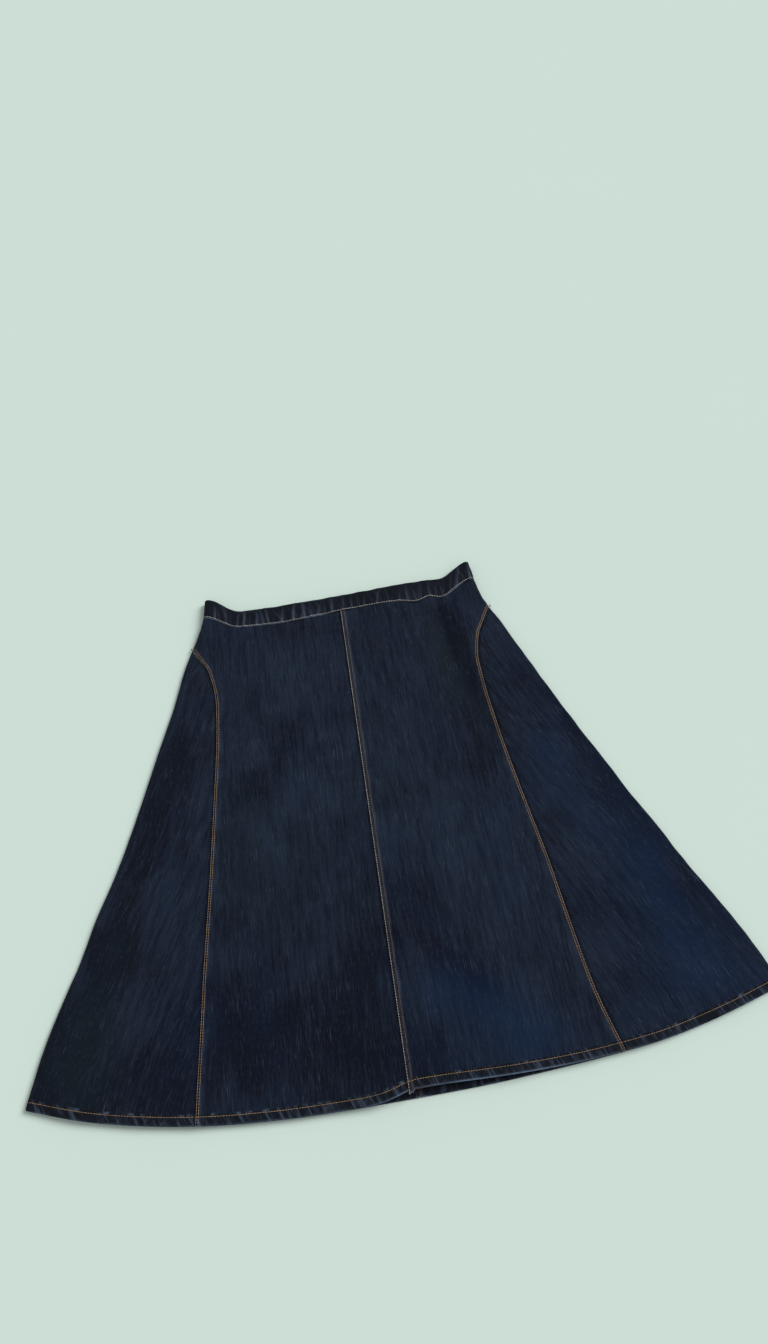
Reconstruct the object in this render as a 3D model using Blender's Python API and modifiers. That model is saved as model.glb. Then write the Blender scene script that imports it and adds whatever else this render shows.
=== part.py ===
"""Six-gored denim skirt, laid flat on its back, waist towards +Y and the outside of its front upwards.

Left and right are the wearer's: the skirt lies on its back, so the wearer's left is at +X.

Two front panels meet at a centre-front seam, two back panels at a centre-back seam, and a side gore
with an arched top wraps round each folded edge from the front to the back. An elasticated waistband
closes the top as one flattened ring. The cloth is worked out as one closed section for each row from
the band to the hem: up the outside of the front, round the fold and along the floor. Each piece is a
stretch of those sections, thickened inwards, with the turned-up hem as a thicker wall.
"""

from collections import namedtuple
from math import cos, exp, hypot, pi, sin

import bmesh
import bpy
import numpy as np

# Driving dimensions, in metres. The laid garment is centred on the origin and rests on z = 0.
WALL = 0.0012                # one layer of denim
HEM_WALL = 0.0026            # the hem is turned up twice: three layers
BAND_WALL = 0.0028           # folded band with the elastic inside
SEAM_GAP = 0.0004            # clearance between neighbouring pieces
SIDE_SEAM_GAP = 0.0012       # the same on the fold, where the walls turn towards each other
ARCH_GAP = 0.0018            # what the arch adds at its tip, where the seam runs across the rows
ARCH_TIP = 0.0005            # half width of a gore's blunt tip, on the fold
ARCH_ROUND = 0.0050          # how widely the arch's slant at the fold runs into its curve
HEM_ALLOWANCE = 0.014        # height of the turned-up hem
LENGTH = 0.639               # waist to hem down the centre of the front
WAIST_Y = 0.309              # top of the band at the centre
CORNER_RISE = 0.021          # the folded ends of the band stand higher than its middle
CORNER_START = 0.74          # share of the half width at which that rise begins

# Shares of the way from waist to hem.
BAND_END = 0.041             # lower edge of the waistband
ARCH_START = 0.081           # top of the side gore, where the side seam ends
ARCH_END = 0.200             # the gore's seam runs nearly straight below here
RISE_START = 0.020           # the corner rise is whole above here ...
RISE_END = 0.085             # ... and gone below here

# The middle of the front hem is lifted and drawn back, so the inside of the back hem shows under it.
LIFT_X = 0.003               # the highest point of the hem
LIFT_HEIGHT = 0.0060
LIFT_SPREAD_RIGHT = 0.040    # half widths of the lift towards the wearer's right and left
LIFT_SPREAD_LEFT = 0.100
LIFT_REACH = 0.110           # how far up the skirt the lift dies out
PULL_BACK = 0.0092
PULL_SPREAD_RIGHT = 0.020
PULL_SPREAD_LEFT = 0.088
PULL_START = 0.75            # share of the length at which the drawn-back cloth begins

PILLOW = 0.035               # distance over which the front rises from the fold to its full height
MIN_AIR = 0.0004             # least clearance between the front and the back

# Numbers of faces.
FRONT_COLUMNS = 8
BACK_COLUMNS = 6
GORE_FRONT_COLUMNS = 6
GORE_BACK_COLUMNS = 4
FOLD_COLUMNS = 6
BAND_ROWS = 2
SIDE_SEAM_ROWS = 3
ARCH_ROWS = 9
ARCH_CROWDING = 1.6          # above 1, the rows lie closer together towards the arch's tip
LOWER_ROWS = 14

# Where a panel turns up onto the fold, its faces end as shares of the quarter turn.
EDGE_TURN = (0.0, 0.45, 0.86, 1.0)

# Each row: place from waist (+) to hem (-), half widths of the laid skirt, height of its folded edge
# and height of the front between the folds.
Level = namedtuple("Level", "y right_edge left_edge fold_height front_height")
LEVELS = (
    Level(0.330, 0.184, 0.180, 0.0125, 0.0085),
    Level(0.300, 0.189, 0.184, 0.0115, 0.0085),
    Level(0.280, 0.197, 0.188, 0.0095, 0.0080),
    Level(0.260, 0.207, 0.196, 0.0075, 0.0074),
    Level(0.240, 0.216, 0.206, 0.0065, 0.0070),
    Level(0.200, 0.230, 0.220, 0.0060, 0.0068),
    Level(0.120, 0.260, 0.254, 0.0056, 0.0066),
    Level(0.000, 0.308, 0.307, 0.0056, 0.0066),
    Level(-0.120, 0.363, 0.362, 0.0058, 0.0068),
    Level(-0.240, 0.417, 0.418, 0.0066, 0.0074),
    Level(-0.277, 0.430, 0.430, 0.0070, 0.0078),
    Level(-0.330, 0.430, 0.430, 0.0070, 0.0078),
)

# Half widths at which the gores' seams lie: as laid on the front, and evenly on the back.
SeamPoint = namedtuple("SeamPoint", "y front_right front_left back")
GORE_SEAMS = (
    SeamPoint(0.262, 0.2075, 0.1990, 0.201),
    SeamPoint(0.250, 0.1975, 0.1840, 0.188),
    SeamPoint(0.235, 0.1905, 0.1770, 0.181),
    SeamPoint(0.215, 0.1855, 0.1720, 0.176),
    SeamPoint(0.186, 0.1815, 0.1670, 0.172),
    SeamPoint(0.157, 0.1825, 0.1680, 0.172),
    SeamPoint(0.102, 0.1875, 0.1730, 0.178),
    SeamPoint(0.024, 0.1975, 0.1830, 0.188),
    SeamPoint(-0.074, 0.2105, 0.1980, 0.202),
    SeamPoint(-0.166, 0.2235, 0.2090, 0.214),
    SeamPoint(-0.252, 0.2345, 0.2210, 0.225),
    SeamPoint(-0.322, 0.2435, 0.2390, 0.238),
)

# The hem's curve across the laid skirt, as shares of its half width (wearer's right is negative).
HemPoint = namedtuple("HemPoint", "share y")
HEM = (
    HemPoint(-1.00, -0.277),
    HemPoint(-0.84, -0.299),
    HemPoint(-0.69, -0.313),
    HemPoint(-0.53, -0.323),
    HemPoint(-0.38, -0.328),
    HemPoint(-0.17, -0.330),
    HemPoint(0.00, -0.329),
    HemPoint(0.20, -0.327),
    HemPoint(0.36, -0.323),
    HemPoint(0.51, -0.318),
    HemPoint(0.67, -0.310),
    HemPoint(0.84, -0.294),
    HemPoint(1.00, -0.274),
)

# The centre-front seam leans a little as the skirt is laid.
CENTRE_TOP_X = -0.0038
CENTRE_HEM_X = -0.0078

# The front's largest soft folds: a line, its half widths at both ends and its height (a trough is
# negative).
Fold = namedtuple("Fold", "x0 y0 x1 y1 width0 width1 height")
FOLDS = (
    Fold(0.134, 0.262, 0.158, 0.062, 0.010, 0.020, -0.0034),
    Fold(0.158, 0.062, 0.192, -0.050, 0.020, 0.030, -0.0026),
    Fold(0.156, 0.255, 0.166, 0.165, 0.010, 0.012, 0.0026),
    Fold(0.100, 0.240, 0.118, 0.020, 0.016, 0.024, 0.0022),
    Fold(0.022, -0.080, 0.092, -0.172, 0.014, 0.018, -0.0028),
    Fold(0.100, -0.185, 0.112, -0.285, 0.020, 0.026, 0.0030),
    Fold(-0.018, -0.150, -0.074, -0.205, 0.014, 0.016, -0.0028),
    Fold(-0.075, -0.080, -0.120, -0.250, 0.030, 0.034, 0.0020),
    Fold(-0.090, 0.200, -0.080, 0.020, 0.030, 0.036, 0.0014),
)


def smooth_read(table, key, column, at):
    """Read a column of a table at any value of its key, on a smooth curve through the rows."""
    rows = sorted(table, key=lambda row: getattr(row, key))
    keys = np.array([getattr(row, key) for row in rows])
    values = np.array([getattr(row, column) for row in rows])
    slopes = np.gradient(values, keys)
    at = min(max(at, keys[0]), keys[-1])
    i = min(int(np.searchsorted(keys, at, side="right")) - 1, len(keys) - 2)
    step = keys[i + 1] - keys[i]
    t = (at - keys[i]) / step
    return float(
        values[i] * (1 + 2 * t) * (1 - t) ** 2
        + slopes[i] * step * t * (1 - t) ** 2
        + values[i + 1] * t * t * (3 - 2 * t)
        + slopes[i + 1] * step * t * t * (t - 1)
    )


def smoothstep(t):
    """Ease from 0 to 1 as t goes from 0 to 1."""
    t = min(max(t, 0.0), 1.0)
    return t * t * (3 - 2 * t)


def bell(distance, width):
    """A soft hump of height 1 that has died out at about three widths."""
    return exp(-0.5 * (distance / width) ** 2)


def row_y(share, down):
    """Place of a row along the skirt: share is across (-1 to 1), down is from waist (0) to hem (1)."""
    rise = CORNER_RISE * smoothstep((abs(share) - CORNER_START) / (1 - CORNER_START))
    rise *= 1 - smoothstep((down - RISE_START) / (RISE_END - RISE_START))
    hem_y = smooth_read(HEM, "share", "y", share)
    return WAIST_Y + (hem_y - WAIST_Y) * down + rise


class Section:
    """Half of the skirt's closed section at one row: the front, the fold of one side and the back.

    A place on it is its reach: the distance along the cloth from x = 0 on the front, out over the
    fold and back to x = 0 underneath.
    """

    def __init__(self, side, down):
        self.side = side
        self.down = down
        self.name = "left" if side > 0 else "right"
        edge_y = row_y(side, down)
        self.edge = smooth_read(LEVELS, "y", self.name + "_edge", edge_y)
        self.radius = smooth_read(LEVELS, "y", "fold_height", edge_y) / 2
        self.flat = self.edge - self.radius
        self.middle = self.flat + self.radius * pi / 2
        self.total = 2 * self.middle

    def point(self, reach):
        """The outer face of the cloth at a reach."""
        over_fold = (reach - self.flat) / self.radius
        if over_fold <= 0:
            return self.front_point(self.side * reach)
        if over_fold < pi:
            x = self.side * (self.flat + self.radius * sin(over_fold))
            return x, row_y(x / self.edge, self.down), self.radius * (1 + cos(over_fold))
        x = self.side * (self.total - reach)
        return x, row_y(x / self.edge, self.down), 0.0

    def front_point(self, x):
        """The outer face of the front at a place across the skirt."""
        spread = PULL_SPREAD_LEFT if x > LIFT_X else PULL_SPREAD_RIGHT
        pull = PULL_BACK * bell(x - LIFT_X, spread)
        pull *= smoothstep((self.down - PULL_START) / (1 - PULL_START))
        y = row_y(x / self.edge, self.down) + pull
        return x, y, self.front_height(x, y)

    def front_height(self, x, y):
        """Height of the front: low at the fold, full between the folds, with its creases and lift."""
        full = smoothstep((self.flat - abs(x)) / PILLOW)
        fold_height = 2 * self.radius
        height = smooth_read(LEVELS, "y", "front_height", y)
        height += sum(fold_rise(fold, x, y) for fold in FOLDS)
        spread = LIFT_SPREAD_LEFT if x > LIFT_X else LIFT_SPREAD_RIGHT
        from_hem = LENGTH * (1 - self.down)
        height += LIFT_HEIGHT * bell(x - LIFT_X, spread) * bell(from_hem, LIFT_REACH)
        wall = HEM_WALL if from_hem < HEM_ALLOWANCE * 2 else WALL
        height = max(height, 2 * wall + MIN_AIR)
        return fold_height + (height - fold_height) * full

    def gore_seam(self, layer):
        """Half width at which the gore's seam crosses this row."""
        x = self.edge
        for _ in range(6):
            y = row_y(self.side * x / self.edge, self.down)
            column = "back" if layer == "back" else "front_" + self.name
            x = smooth_read(GORE_SEAMS, "y", column, y)
        tip = self.middle - ARCH_TIP
        slant = tip - (self.down - ARCH_START) * LENGTH
        rounded = (x + slant + hypot(x - slant, ARCH_ROUND)) / 2
        return min(rounded, tip)

    def gore_gap(self):
        """Clearance across the gore's seams: wider round the arch, whose seam slants over the rows."""
        return SEAM_GAP + ARCH_GAP * (1 - smoothstep((self.down - ARCH_START) / (ARCH_END - ARCH_START)))

    def panel_end(self, layer):
        """Where a panel ends, as a reach from x = 0 on its own layer."""
        if self.down <= ARCH_START:
            return self.middle - SIDE_SEAM_GAP / 2
        return self.gore_seam(layer) - self.gore_gap() / 2

    def centre_seam(self):
        """Reach of the centre-front seam, which leans across x = 0."""
        return self.side * (CENTRE_TOP_X + (CENTRE_HEM_X - CENTRE_TOP_X) * self.down)


def fold_rise(fold, x, y):
    """Height that one soft fold adds at a place on the front."""
    run_x, run_y = fold.x1 - fold.x0, fold.y1 - fold.y0
    run = hypot(run_x, run_y)
    along = ((x - fold.x0) * run_x + (y - fold.y0) * run_y) / run ** 2
    held = min(max(along, 0.0), 1.0)
    width = fold.width0 + (fold.width1 - fold.width0) * held
    distance = hypot(x - fold.x0 - held * run_x, y - fold.y0 - held * run_y)
    return fold.height * bell(distance, width)


def spaced(start, end, count):
    """Evenly spaced values from start to end, both included, with count steps between them."""
    return list(np.linspace(start, end, count + 1))


def rows_from(start):
    """Rows from a place under the band to the hem: close at the arch and at the hem's fold."""
    upper = spaced(BAND_END, ARCH_START, SIDE_SEAM_ROWS)
    shares = [(k / ARCH_ROWS) ** ARCH_CROWDING for k in range(1, ARCH_ROWS + 1)]
    arch = [ARCH_START + (ARCH_END - ARCH_START) * share for share in shares]
    turn = 1 - HEM_ALLOWANCE / LENGTH
    lower = spaced(ARCH_END, turn, LOWER_ROWS)[1:]
    return [down for down in upper + arch + lower if down >= start] + [turn + WALL / LENGTH, 1.0]


def panel_stations(section, inner, layer, columns):
    """Places across one panel, counted from x = 0: even to the fold's width, then round its turn."""
    outer = section.panel_end(layer)
    turn = outer - section.radius * pi / 2
    return spaced(inner, turn, columns) + [turn + (outer - turn) * share for share in EDGE_TURN[1:]]


def front_stations(section):
    """Reaches across a front panel, from the centre-front seam to its outer seam."""
    return panel_stations(section, section.centre_seam() + SEAM_GAP / 2, "front", FRONT_COLUMNS)


def back_stations(section):
    """Reaches across a back panel, from its outer seam to the centre-back seam."""
    from_centre = panel_stations(section, SEAM_GAP / 2, "back", BACK_COLUMNS)
    return [section.total - place for place in reversed(from_centre)]


def gore_stations(section):
    """Reaches across a side gore, from its front seam over the fold to its back seam."""
    front = section.gore_seam("front") + section.gore_gap() / 2
    back = section.total - section.gore_seam("back") - section.gore_gap() / 2
    half_fold = min(section.radius * pi / 2, 0.6 * (section.middle - front))
    fold_start = section.middle - half_fold
    fold_end = section.middle + half_fold
    flat_front = spaced(front, fold_start, GORE_FRONT_COLUMNS)
    over_fold = spaced(fold_start, fold_end, FOLD_COLUMNS)[1:]
    flat_back = spaced(fold_end, back, GORE_BACK_COLUMNS)[1:]
    return flat_front + over_fold + flat_back


def denim_material(name, color, roughness):
    """A plain denim finish for one piece."""
    material = bpy.data.materials.new(name + "_denim")
    material.use_nodes = True
    shader = material.node_tree.nodes["Principled BSDF"]
    shader.inputs["Base Color"].default_value = (*color, 1.0)
    shader.inputs["Roughness"].default_value = roughness
    shader.inputs["Metallic"].default_value = 0.0
    return material


def finish_piece(name, bm, wall, thin_wall, thick_verts, color):
    """Turn an outer face into a closed piece of cloth, thickened towards the inside."""
    mesh = bpy.data.meshes.new(name)
    bm.to_mesh(mesh)
    bm.free()
    mesh.shade_smooth()
    piece = bpy.data.objects.new(name, mesh)
    collection.objects.link(piece)
    group = piece.vertex_groups.new(name="full_thickness")
    group.add(thick_verts, 1.0, "REPLACE")
    solidify = piece.modifiers.new("cloth_wall", "SOLIDIFY")
    solidify.thickness = wall
    solidify.offset = -1.0
    solidify.vertex_group = group.name
    solidify.thickness_vertex_group = thin_wall / wall
    mesh.materials.append(denim_material(name, color, 0.88))
    return piece


def sewn_panel(name, side, stations_of, start, color):
    """One panel or gore: a grid laid over the sections from a starting row to the hem."""
    downs = rows_from(start)
    if start == BAND_END:
        downs[0] += SEAM_GAP / LENGTH
    sections = [Section(side, down) for down in reversed(downs)]
    lines = []
    for section in sections:
        stations = stations_of(section)
        lines.append(stations if side > 0 else stations[::-1])
    columns, rows = len(lines[0]) - 1, len(lines) - 1
    bm = bmesh.new()
    bmesh.ops.create_grid(bm, x_segments=columns, y_segments=rows, size=0.5)
    bm.verts.index_update()
    hem_verts = []
    for vert in bm.verts:
        column = round((vert.co.x + 0.5) * columns)
        row = round((vert.co.y + 0.5) * rows)
        vert.co = sections[row].point(lines[row][column])
        if sections[row].down > 1 - HEM_ALLOWANCE / LENGTH + WALL / LENGTH / 2:
            hem_verts.append(vert.index)
    return finish_piece(name, bm, HEM_WALL, WALL, hem_verts, color)


def band_ring(down):
    """Points round the flattened waistband at one row, closed from the centre back."""
    right, left = Section(-1, down), Section(1, down)
    under_start = left.total - left.flat
    over = spaced(0.0, left.flat, FRONT_COLUMNS)[:-1]
    fold = spaced(left.flat, under_start, FOLD_COLUMNS)
    round_left = over + fold + spaced(under_start, left.total, BACK_COLUMNS)[1:]
    points = [left.point(reach) for reach in round_left]
    scale = [reach / left.total * right.total for reach in round_left]
    return points + [right.point(reach) for reach in reversed(scale[1:-1])]


def waistband(color):
    """The elasticated band: a flattened tube, open at its top and bottom."""
    lowest = BAND_END - SEAM_GAP / LENGTH / 2
    rings = [band_ring(down) for down in spaced(lowest, 0.0, BAND_ROWS)]
    count = len(rings[0])
    bm = bmesh.new()
    bmesh.ops.create_grid(bm, x_segments=count, y_segments=BAND_ROWS, size=0.5)
    for vert in bm.verts:
        column = round((vert.co.x + 0.5) * count) % count
        vert.co = rings[round((vert.co.y + 0.5) * BAND_ROWS)][column]
    bmesh.ops.remove_doubles(bm, verts=bm.verts, dist=1e-6)
    every_vert = list(range(len(bm.verts)))
    return finish_piece("waistband", bm, BAND_WALL, BAND_WALL, every_vert, color)


for old in list(bpy.data.objects):
    bpy.data.objects.remove(old, do_unlink=True)
collection = bpy.data.collections.new("denim_skirt")
bpy.context.scene.collection.children.link(collection)

FRONT_COLOR = (0.011, 0.016, 0.040)
GORE_COLOR = (0.009, 0.015, 0.042)
BACK_COLOR = (0.010, 0.015, 0.037)
BAND_COLOR = (0.009, 0.013, 0.030)

waistband(BAND_COLOR)
for side_name, side_sign in (("right", -1), ("left", 1)):
    sewn_panel("front_" + side_name, side_sign, front_stations, BAND_END, FRONT_COLOR)
    sewn_panel("gore_" + side_name, side_sign, gore_stations, ARCH_START + 1e-6, GORE_COLOR)
    sewn_panel("back_" + side_name, side_sign, back_stations, BAND_END, BACK_COLOR)
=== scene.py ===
"""Six-gored denim skirt, laid flat on a pale floor: the cloth, seams and stitching round its CAD frame.

Left and right are the wearer's: the skirt lies on its back, so the wearer's left is at +X. Every
panel is a thin closed shell of cloth laid over the same sections as its CAD solid, with its creases,
felled seams, turned-up hem and puckers in the shape. The stitch rows are made by Geometry Nodes.
"""

import logging
from dataclasses import dataclass, field
from enum import Enum
from math import pi
from typing import NamedTuple

import bpy
import numpy as np
from mathutils import Matrix

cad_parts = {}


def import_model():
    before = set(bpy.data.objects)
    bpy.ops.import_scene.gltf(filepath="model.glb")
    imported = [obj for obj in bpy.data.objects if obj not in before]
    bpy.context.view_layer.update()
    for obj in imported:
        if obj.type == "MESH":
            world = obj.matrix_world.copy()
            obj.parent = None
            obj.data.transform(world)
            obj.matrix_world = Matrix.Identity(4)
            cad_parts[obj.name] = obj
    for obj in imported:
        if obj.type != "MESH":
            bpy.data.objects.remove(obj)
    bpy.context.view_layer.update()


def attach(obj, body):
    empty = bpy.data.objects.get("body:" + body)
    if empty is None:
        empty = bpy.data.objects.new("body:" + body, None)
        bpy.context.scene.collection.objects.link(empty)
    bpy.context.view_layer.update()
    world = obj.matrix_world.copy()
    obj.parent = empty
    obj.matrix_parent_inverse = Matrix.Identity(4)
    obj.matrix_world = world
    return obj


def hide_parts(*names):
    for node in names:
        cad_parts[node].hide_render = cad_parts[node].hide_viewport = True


LOG = logging.getLogger("denim_skirt")
BODY = "root"


class Side(Enum):
    """Half of the skirt as worn; the value is its direction along X."""

    RIGHT = -1
    LEFT = 1


class Layer(Enum):
    """Layer of the laid skirt."""

    FRONT = "front"
    BACK = "back"


class Level(NamedTuple):
    """Half widths and heights of the laid skirt at one place from waist (+Y) to hem (-Y)."""

    y: float
    right_edge: float
    left_edge: float
    fold_height: float
    front_height: float


class SeamPoint(NamedTuple):
    """Half widths at which the gores' seams lie, on the front and evenly on the back."""

    y: float
    front_right: float
    front_left: float
    back: float


class HemPoint(NamedTuple):
    """Place of the hem at a share of the half width (the wearer's right is negative)."""

    share: float
    y: float


class WaistPoint(NamedTuple):
    """How far the waistband's lower and upper edges stray from their even line."""

    x: float
    lower: float
    upper: float


class Crease(NamedTuple):
    """A soft line in the cloth: a trough is negative. Widths are half widths at both ends."""

    x0: float
    y0: float
    x1: float
    y1: float
    width0: float
    width1: float
    height: float


class ShadeAndDyeSpot(NamedTuple):
    """A darker or lighter stretch on the cloth: partly the dye's own mottling, partly painted shade along
    troughs and painted light on ridges; hue runs from green (-1) to bright blue (+1).
    """

    x0: float
    y0: float
    x1: float
    y1: float
    width: float
    tone: float
    hue: float


LEVELS = (
    Level(0.330, 0.184, 0.180, 0.0125, 0.0085),
    Level(0.300, 0.189, 0.184, 0.0115, 0.0085),
    Level(0.280, 0.197, 0.188, 0.0095, 0.0080),
    Level(0.260, 0.207, 0.196, 0.0075, 0.0074),
    Level(0.240, 0.216, 0.206, 0.0065, 0.0070),
    Level(0.200, 0.230, 0.220, 0.0060, 0.0068),
    Level(0.120, 0.260, 0.254, 0.0056, 0.0066),
    Level(0.000, 0.308, 0.307, 0.0056, 0.0066),
    Level(-0.120, 0.363, 0.362, 0.0058, 0.0068),
    Level(-0.240, 0.417, 0.418, 0.0066, 0.0074),
    Level(-0.277, 0.430, 0.430, 0.0070, 0.0078),
    Level(-0.330, 0.430, 0.430, 0.0070, 0.0078),
)
GORE_SEAMS = (
    SeamPoint(0.262, 0.2075, 0.1990, 0.201),
    SeamPoint(0.250, 0.1975, 0.1840, 0.188),
    SeamPoint(0.235, 0.1905, 0.1770, 0.181),
    SeamPoint(0.215, 0.1855, 0.1720, 0.176),
    SeamPoint(0.186, 0.1815, 0.1670, 0.172),
    SeamPoint(0.157, 0.1825, 0.1680, 0.172),
    SeamPoint(0.102, 0.1875, 0.1730, 0.178),
    SeamPoint(0.024, 0.1975, 0.1830, 0.188),
    SeamPoint(-0.074, 0.2105, 0.1980, 0.202),
    SeamPoint(-0.166, 0.2235, 0.2090, 0.214),
    SeamPoint(-0.252, 0.2345, 0.2210, 0.225),
    SeamPoint(-0.322, 0.2435, 0.2390, 0.238),
)
HEM = (
    HemPoint(-1.00, -0.277),
    HemPoint(-0.84, -0.299),
    HemPoint(-0.69, -0.313),
    HemPoint(-0.53, -0.323),
    HemPoint(-0.38, -0.328),
    HemPoint(-0.17, -0.330),
    HemPoint(0.00, -0.329),
    HemPoint(0.20, -0.327),
    HemPoint(0.36, -0.323),
    HemPoint(0.51, -0.318),
    HemPoint(0.67, -0.310),
    HemPoint(0.84, -0.294),
    HemPoint(1.00, -0.274),
)
WAIST_WAVE = (
    WaistPoint(-0.180, 0.0000, 0.0000),
    WaistPoint(-0.125, -0.0030, -0.0030),
    WaistPoint(-0.076, -0.0040, -0.0030),
    WaistPoint(-0.030, -0.0010, -0.0020),
    WaistPoint(0.030, 0.0025, 0.0005),
    WaistPoint(0.075, 0.0025, 0.0028),
    WaistPoint(0.103, -0.0025, 0.0032),
    WaistPoint(0.117, 0.0022, 0.0032),
    WaistPoint(0.131, -0.0018, 0.0026),
    WaistPoint(0.152, 0.0008, 0.0012),
    WaistPoint(0.180, 0.0000, 0.0000),
)

# The front's largest folds, as in the CAD frame, and then its lesser creases.
FOLDS = (
    Crease(0.134, 0.262, 0.158, 0.062, 0.010, 0.020, -0.0034),
    Crease(0.158, 0.062, 0.192, -0.050, 0.020, 0.030, -0.0026),
    Crease(0.156, 0.255, 0.166, 0.165, 0.010, 0.012, 0.0026),
    Crease(0.100, 0.240, 0.118, 0.020, 0.016, 0.024, 0.0022),
    Crease(0.022, -0.080, 0.092, -0.172, 0.014, 0.018, -0.0028),
    Crease(0.100, -0.185, 0.112, -0.285, 0.020, 0.026, 0.0030),
    Crease(-0.018, -0.150, -0.074, -0.205, 0.014, 0.016, -0.0028),
    Crease(-0.075, -0.080, -0.120, -0.250, 0.030, 0.034, 0.0020),
    Crease(-0.090, 0.200, -0.080, 0.020, 0.030, 0.036, 0.0014),
)
FRONT_CREASES = (
    Crease(0.127, 0.262, 0.134, 0.180, 0.004, 0.007, -0.0016),
    Crease(0.137, 0.250, 0.143, 0.185, 0.003, 0.005, 0.0013),
    Crease(0.056, 0.276, 0.060, 0.224, 0.002, 0.003, -0.0007),
    Crease(0.076, 0.274, 0.095, 0.179, 0.002, 0.004, -0.0008),
    Crease(0.083, 0.268, 0.100, 0.190, 0.003, 0.004, 0.0006),
    Crease(-0.038, 0.254, -0.007, 0.250, 0.002, 0.003, -0.0010),
    Crease(-0.112, 0.270, -0.105, 0.232, 0.003, 0.005, -0.0006),
    Crease(-0.150, 0.268, -0.138, 0.215, 0.003, 0.005, -0.0006),
    Crease(0.040, 0.212, 0.066, 0.207, 0.001, 0.002, -0.0005),
    Crease(0.114, -0.073, 0.126, -0.080, 0.002, 0.002, -0.0006),
    Crease(0.138, -0.160, 0.152, -0.165, 0.002, 0.002, -0.0005),
    Crease(-0.075, 0.135, -0.142, 0.051, 0.009, 0.012, -0.0015),
    Crease(0.030, -0.100, 0.080, -0.170, 0.006, 0.008, -0.0014),
    Crease(0.060, -0.020, 0.130, -0.055, 0.010, 0.012, 0.0008),
    Crease(-0.128, 0.030, -0.108, 0.048, 0.001, 0.002, -0.0004),
    Crease(-0.150, -0.140, -0.143, -0.250, 0.010, 0.014, -0.0010),
    Crease(-0.196, -0.210, -0.190, -0.292, 0.004, 0.008, -0.0010),
    Crease(0.166, -0.225, 0.184, -0.300, 0.006, 0.009, -0.0010),
    Crease(-0.262, 0.045, -0.318, -0.105, 0.012, 0.016, -0.0013),
    Crease(-0.345, -0.150, -0.382, -0.262, 0.012, 0.016, -0.0013),
    Crease(-0.290, -0.120, -0.330, -0.270, 0.016, 0.020, 0.0010),
    Crease(0.252, 0.100, 0.330, -0.100, 0.012, 0.020, -0.0012),
    Crease(0.300, -0.130, 0.345, -0.260, 0.016, 0.020, 0.0012),
    Crease(0.260, -0.130, 0.290, -0.270, 0.010, 0.014, -0.0010),
)
BACK_CREASES = (
    Crease(-0.120, 0.240, -0.130, 0.060, 0.012, 0.020, 0.0006),
    Crease(0.090, 0.200, 0.120, -0.060, 0.014, 0.020, 0.0006),
    Crease(-0.060, -0.020, -0.110, -0.220, 0.014, 0.018, 0.0006),
    Crease(0.030, -0.120, 0.080, -0.260, 0.012, 0.016, 0.0006),
    Crease(0.270, 0.020, 0.330, -0.180, 0.014, 0.018, 0.0006),
    Crease(-0.280, 0.030, -0.350, -0.200, 0.014, 0.018, 0.0006),
)
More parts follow.
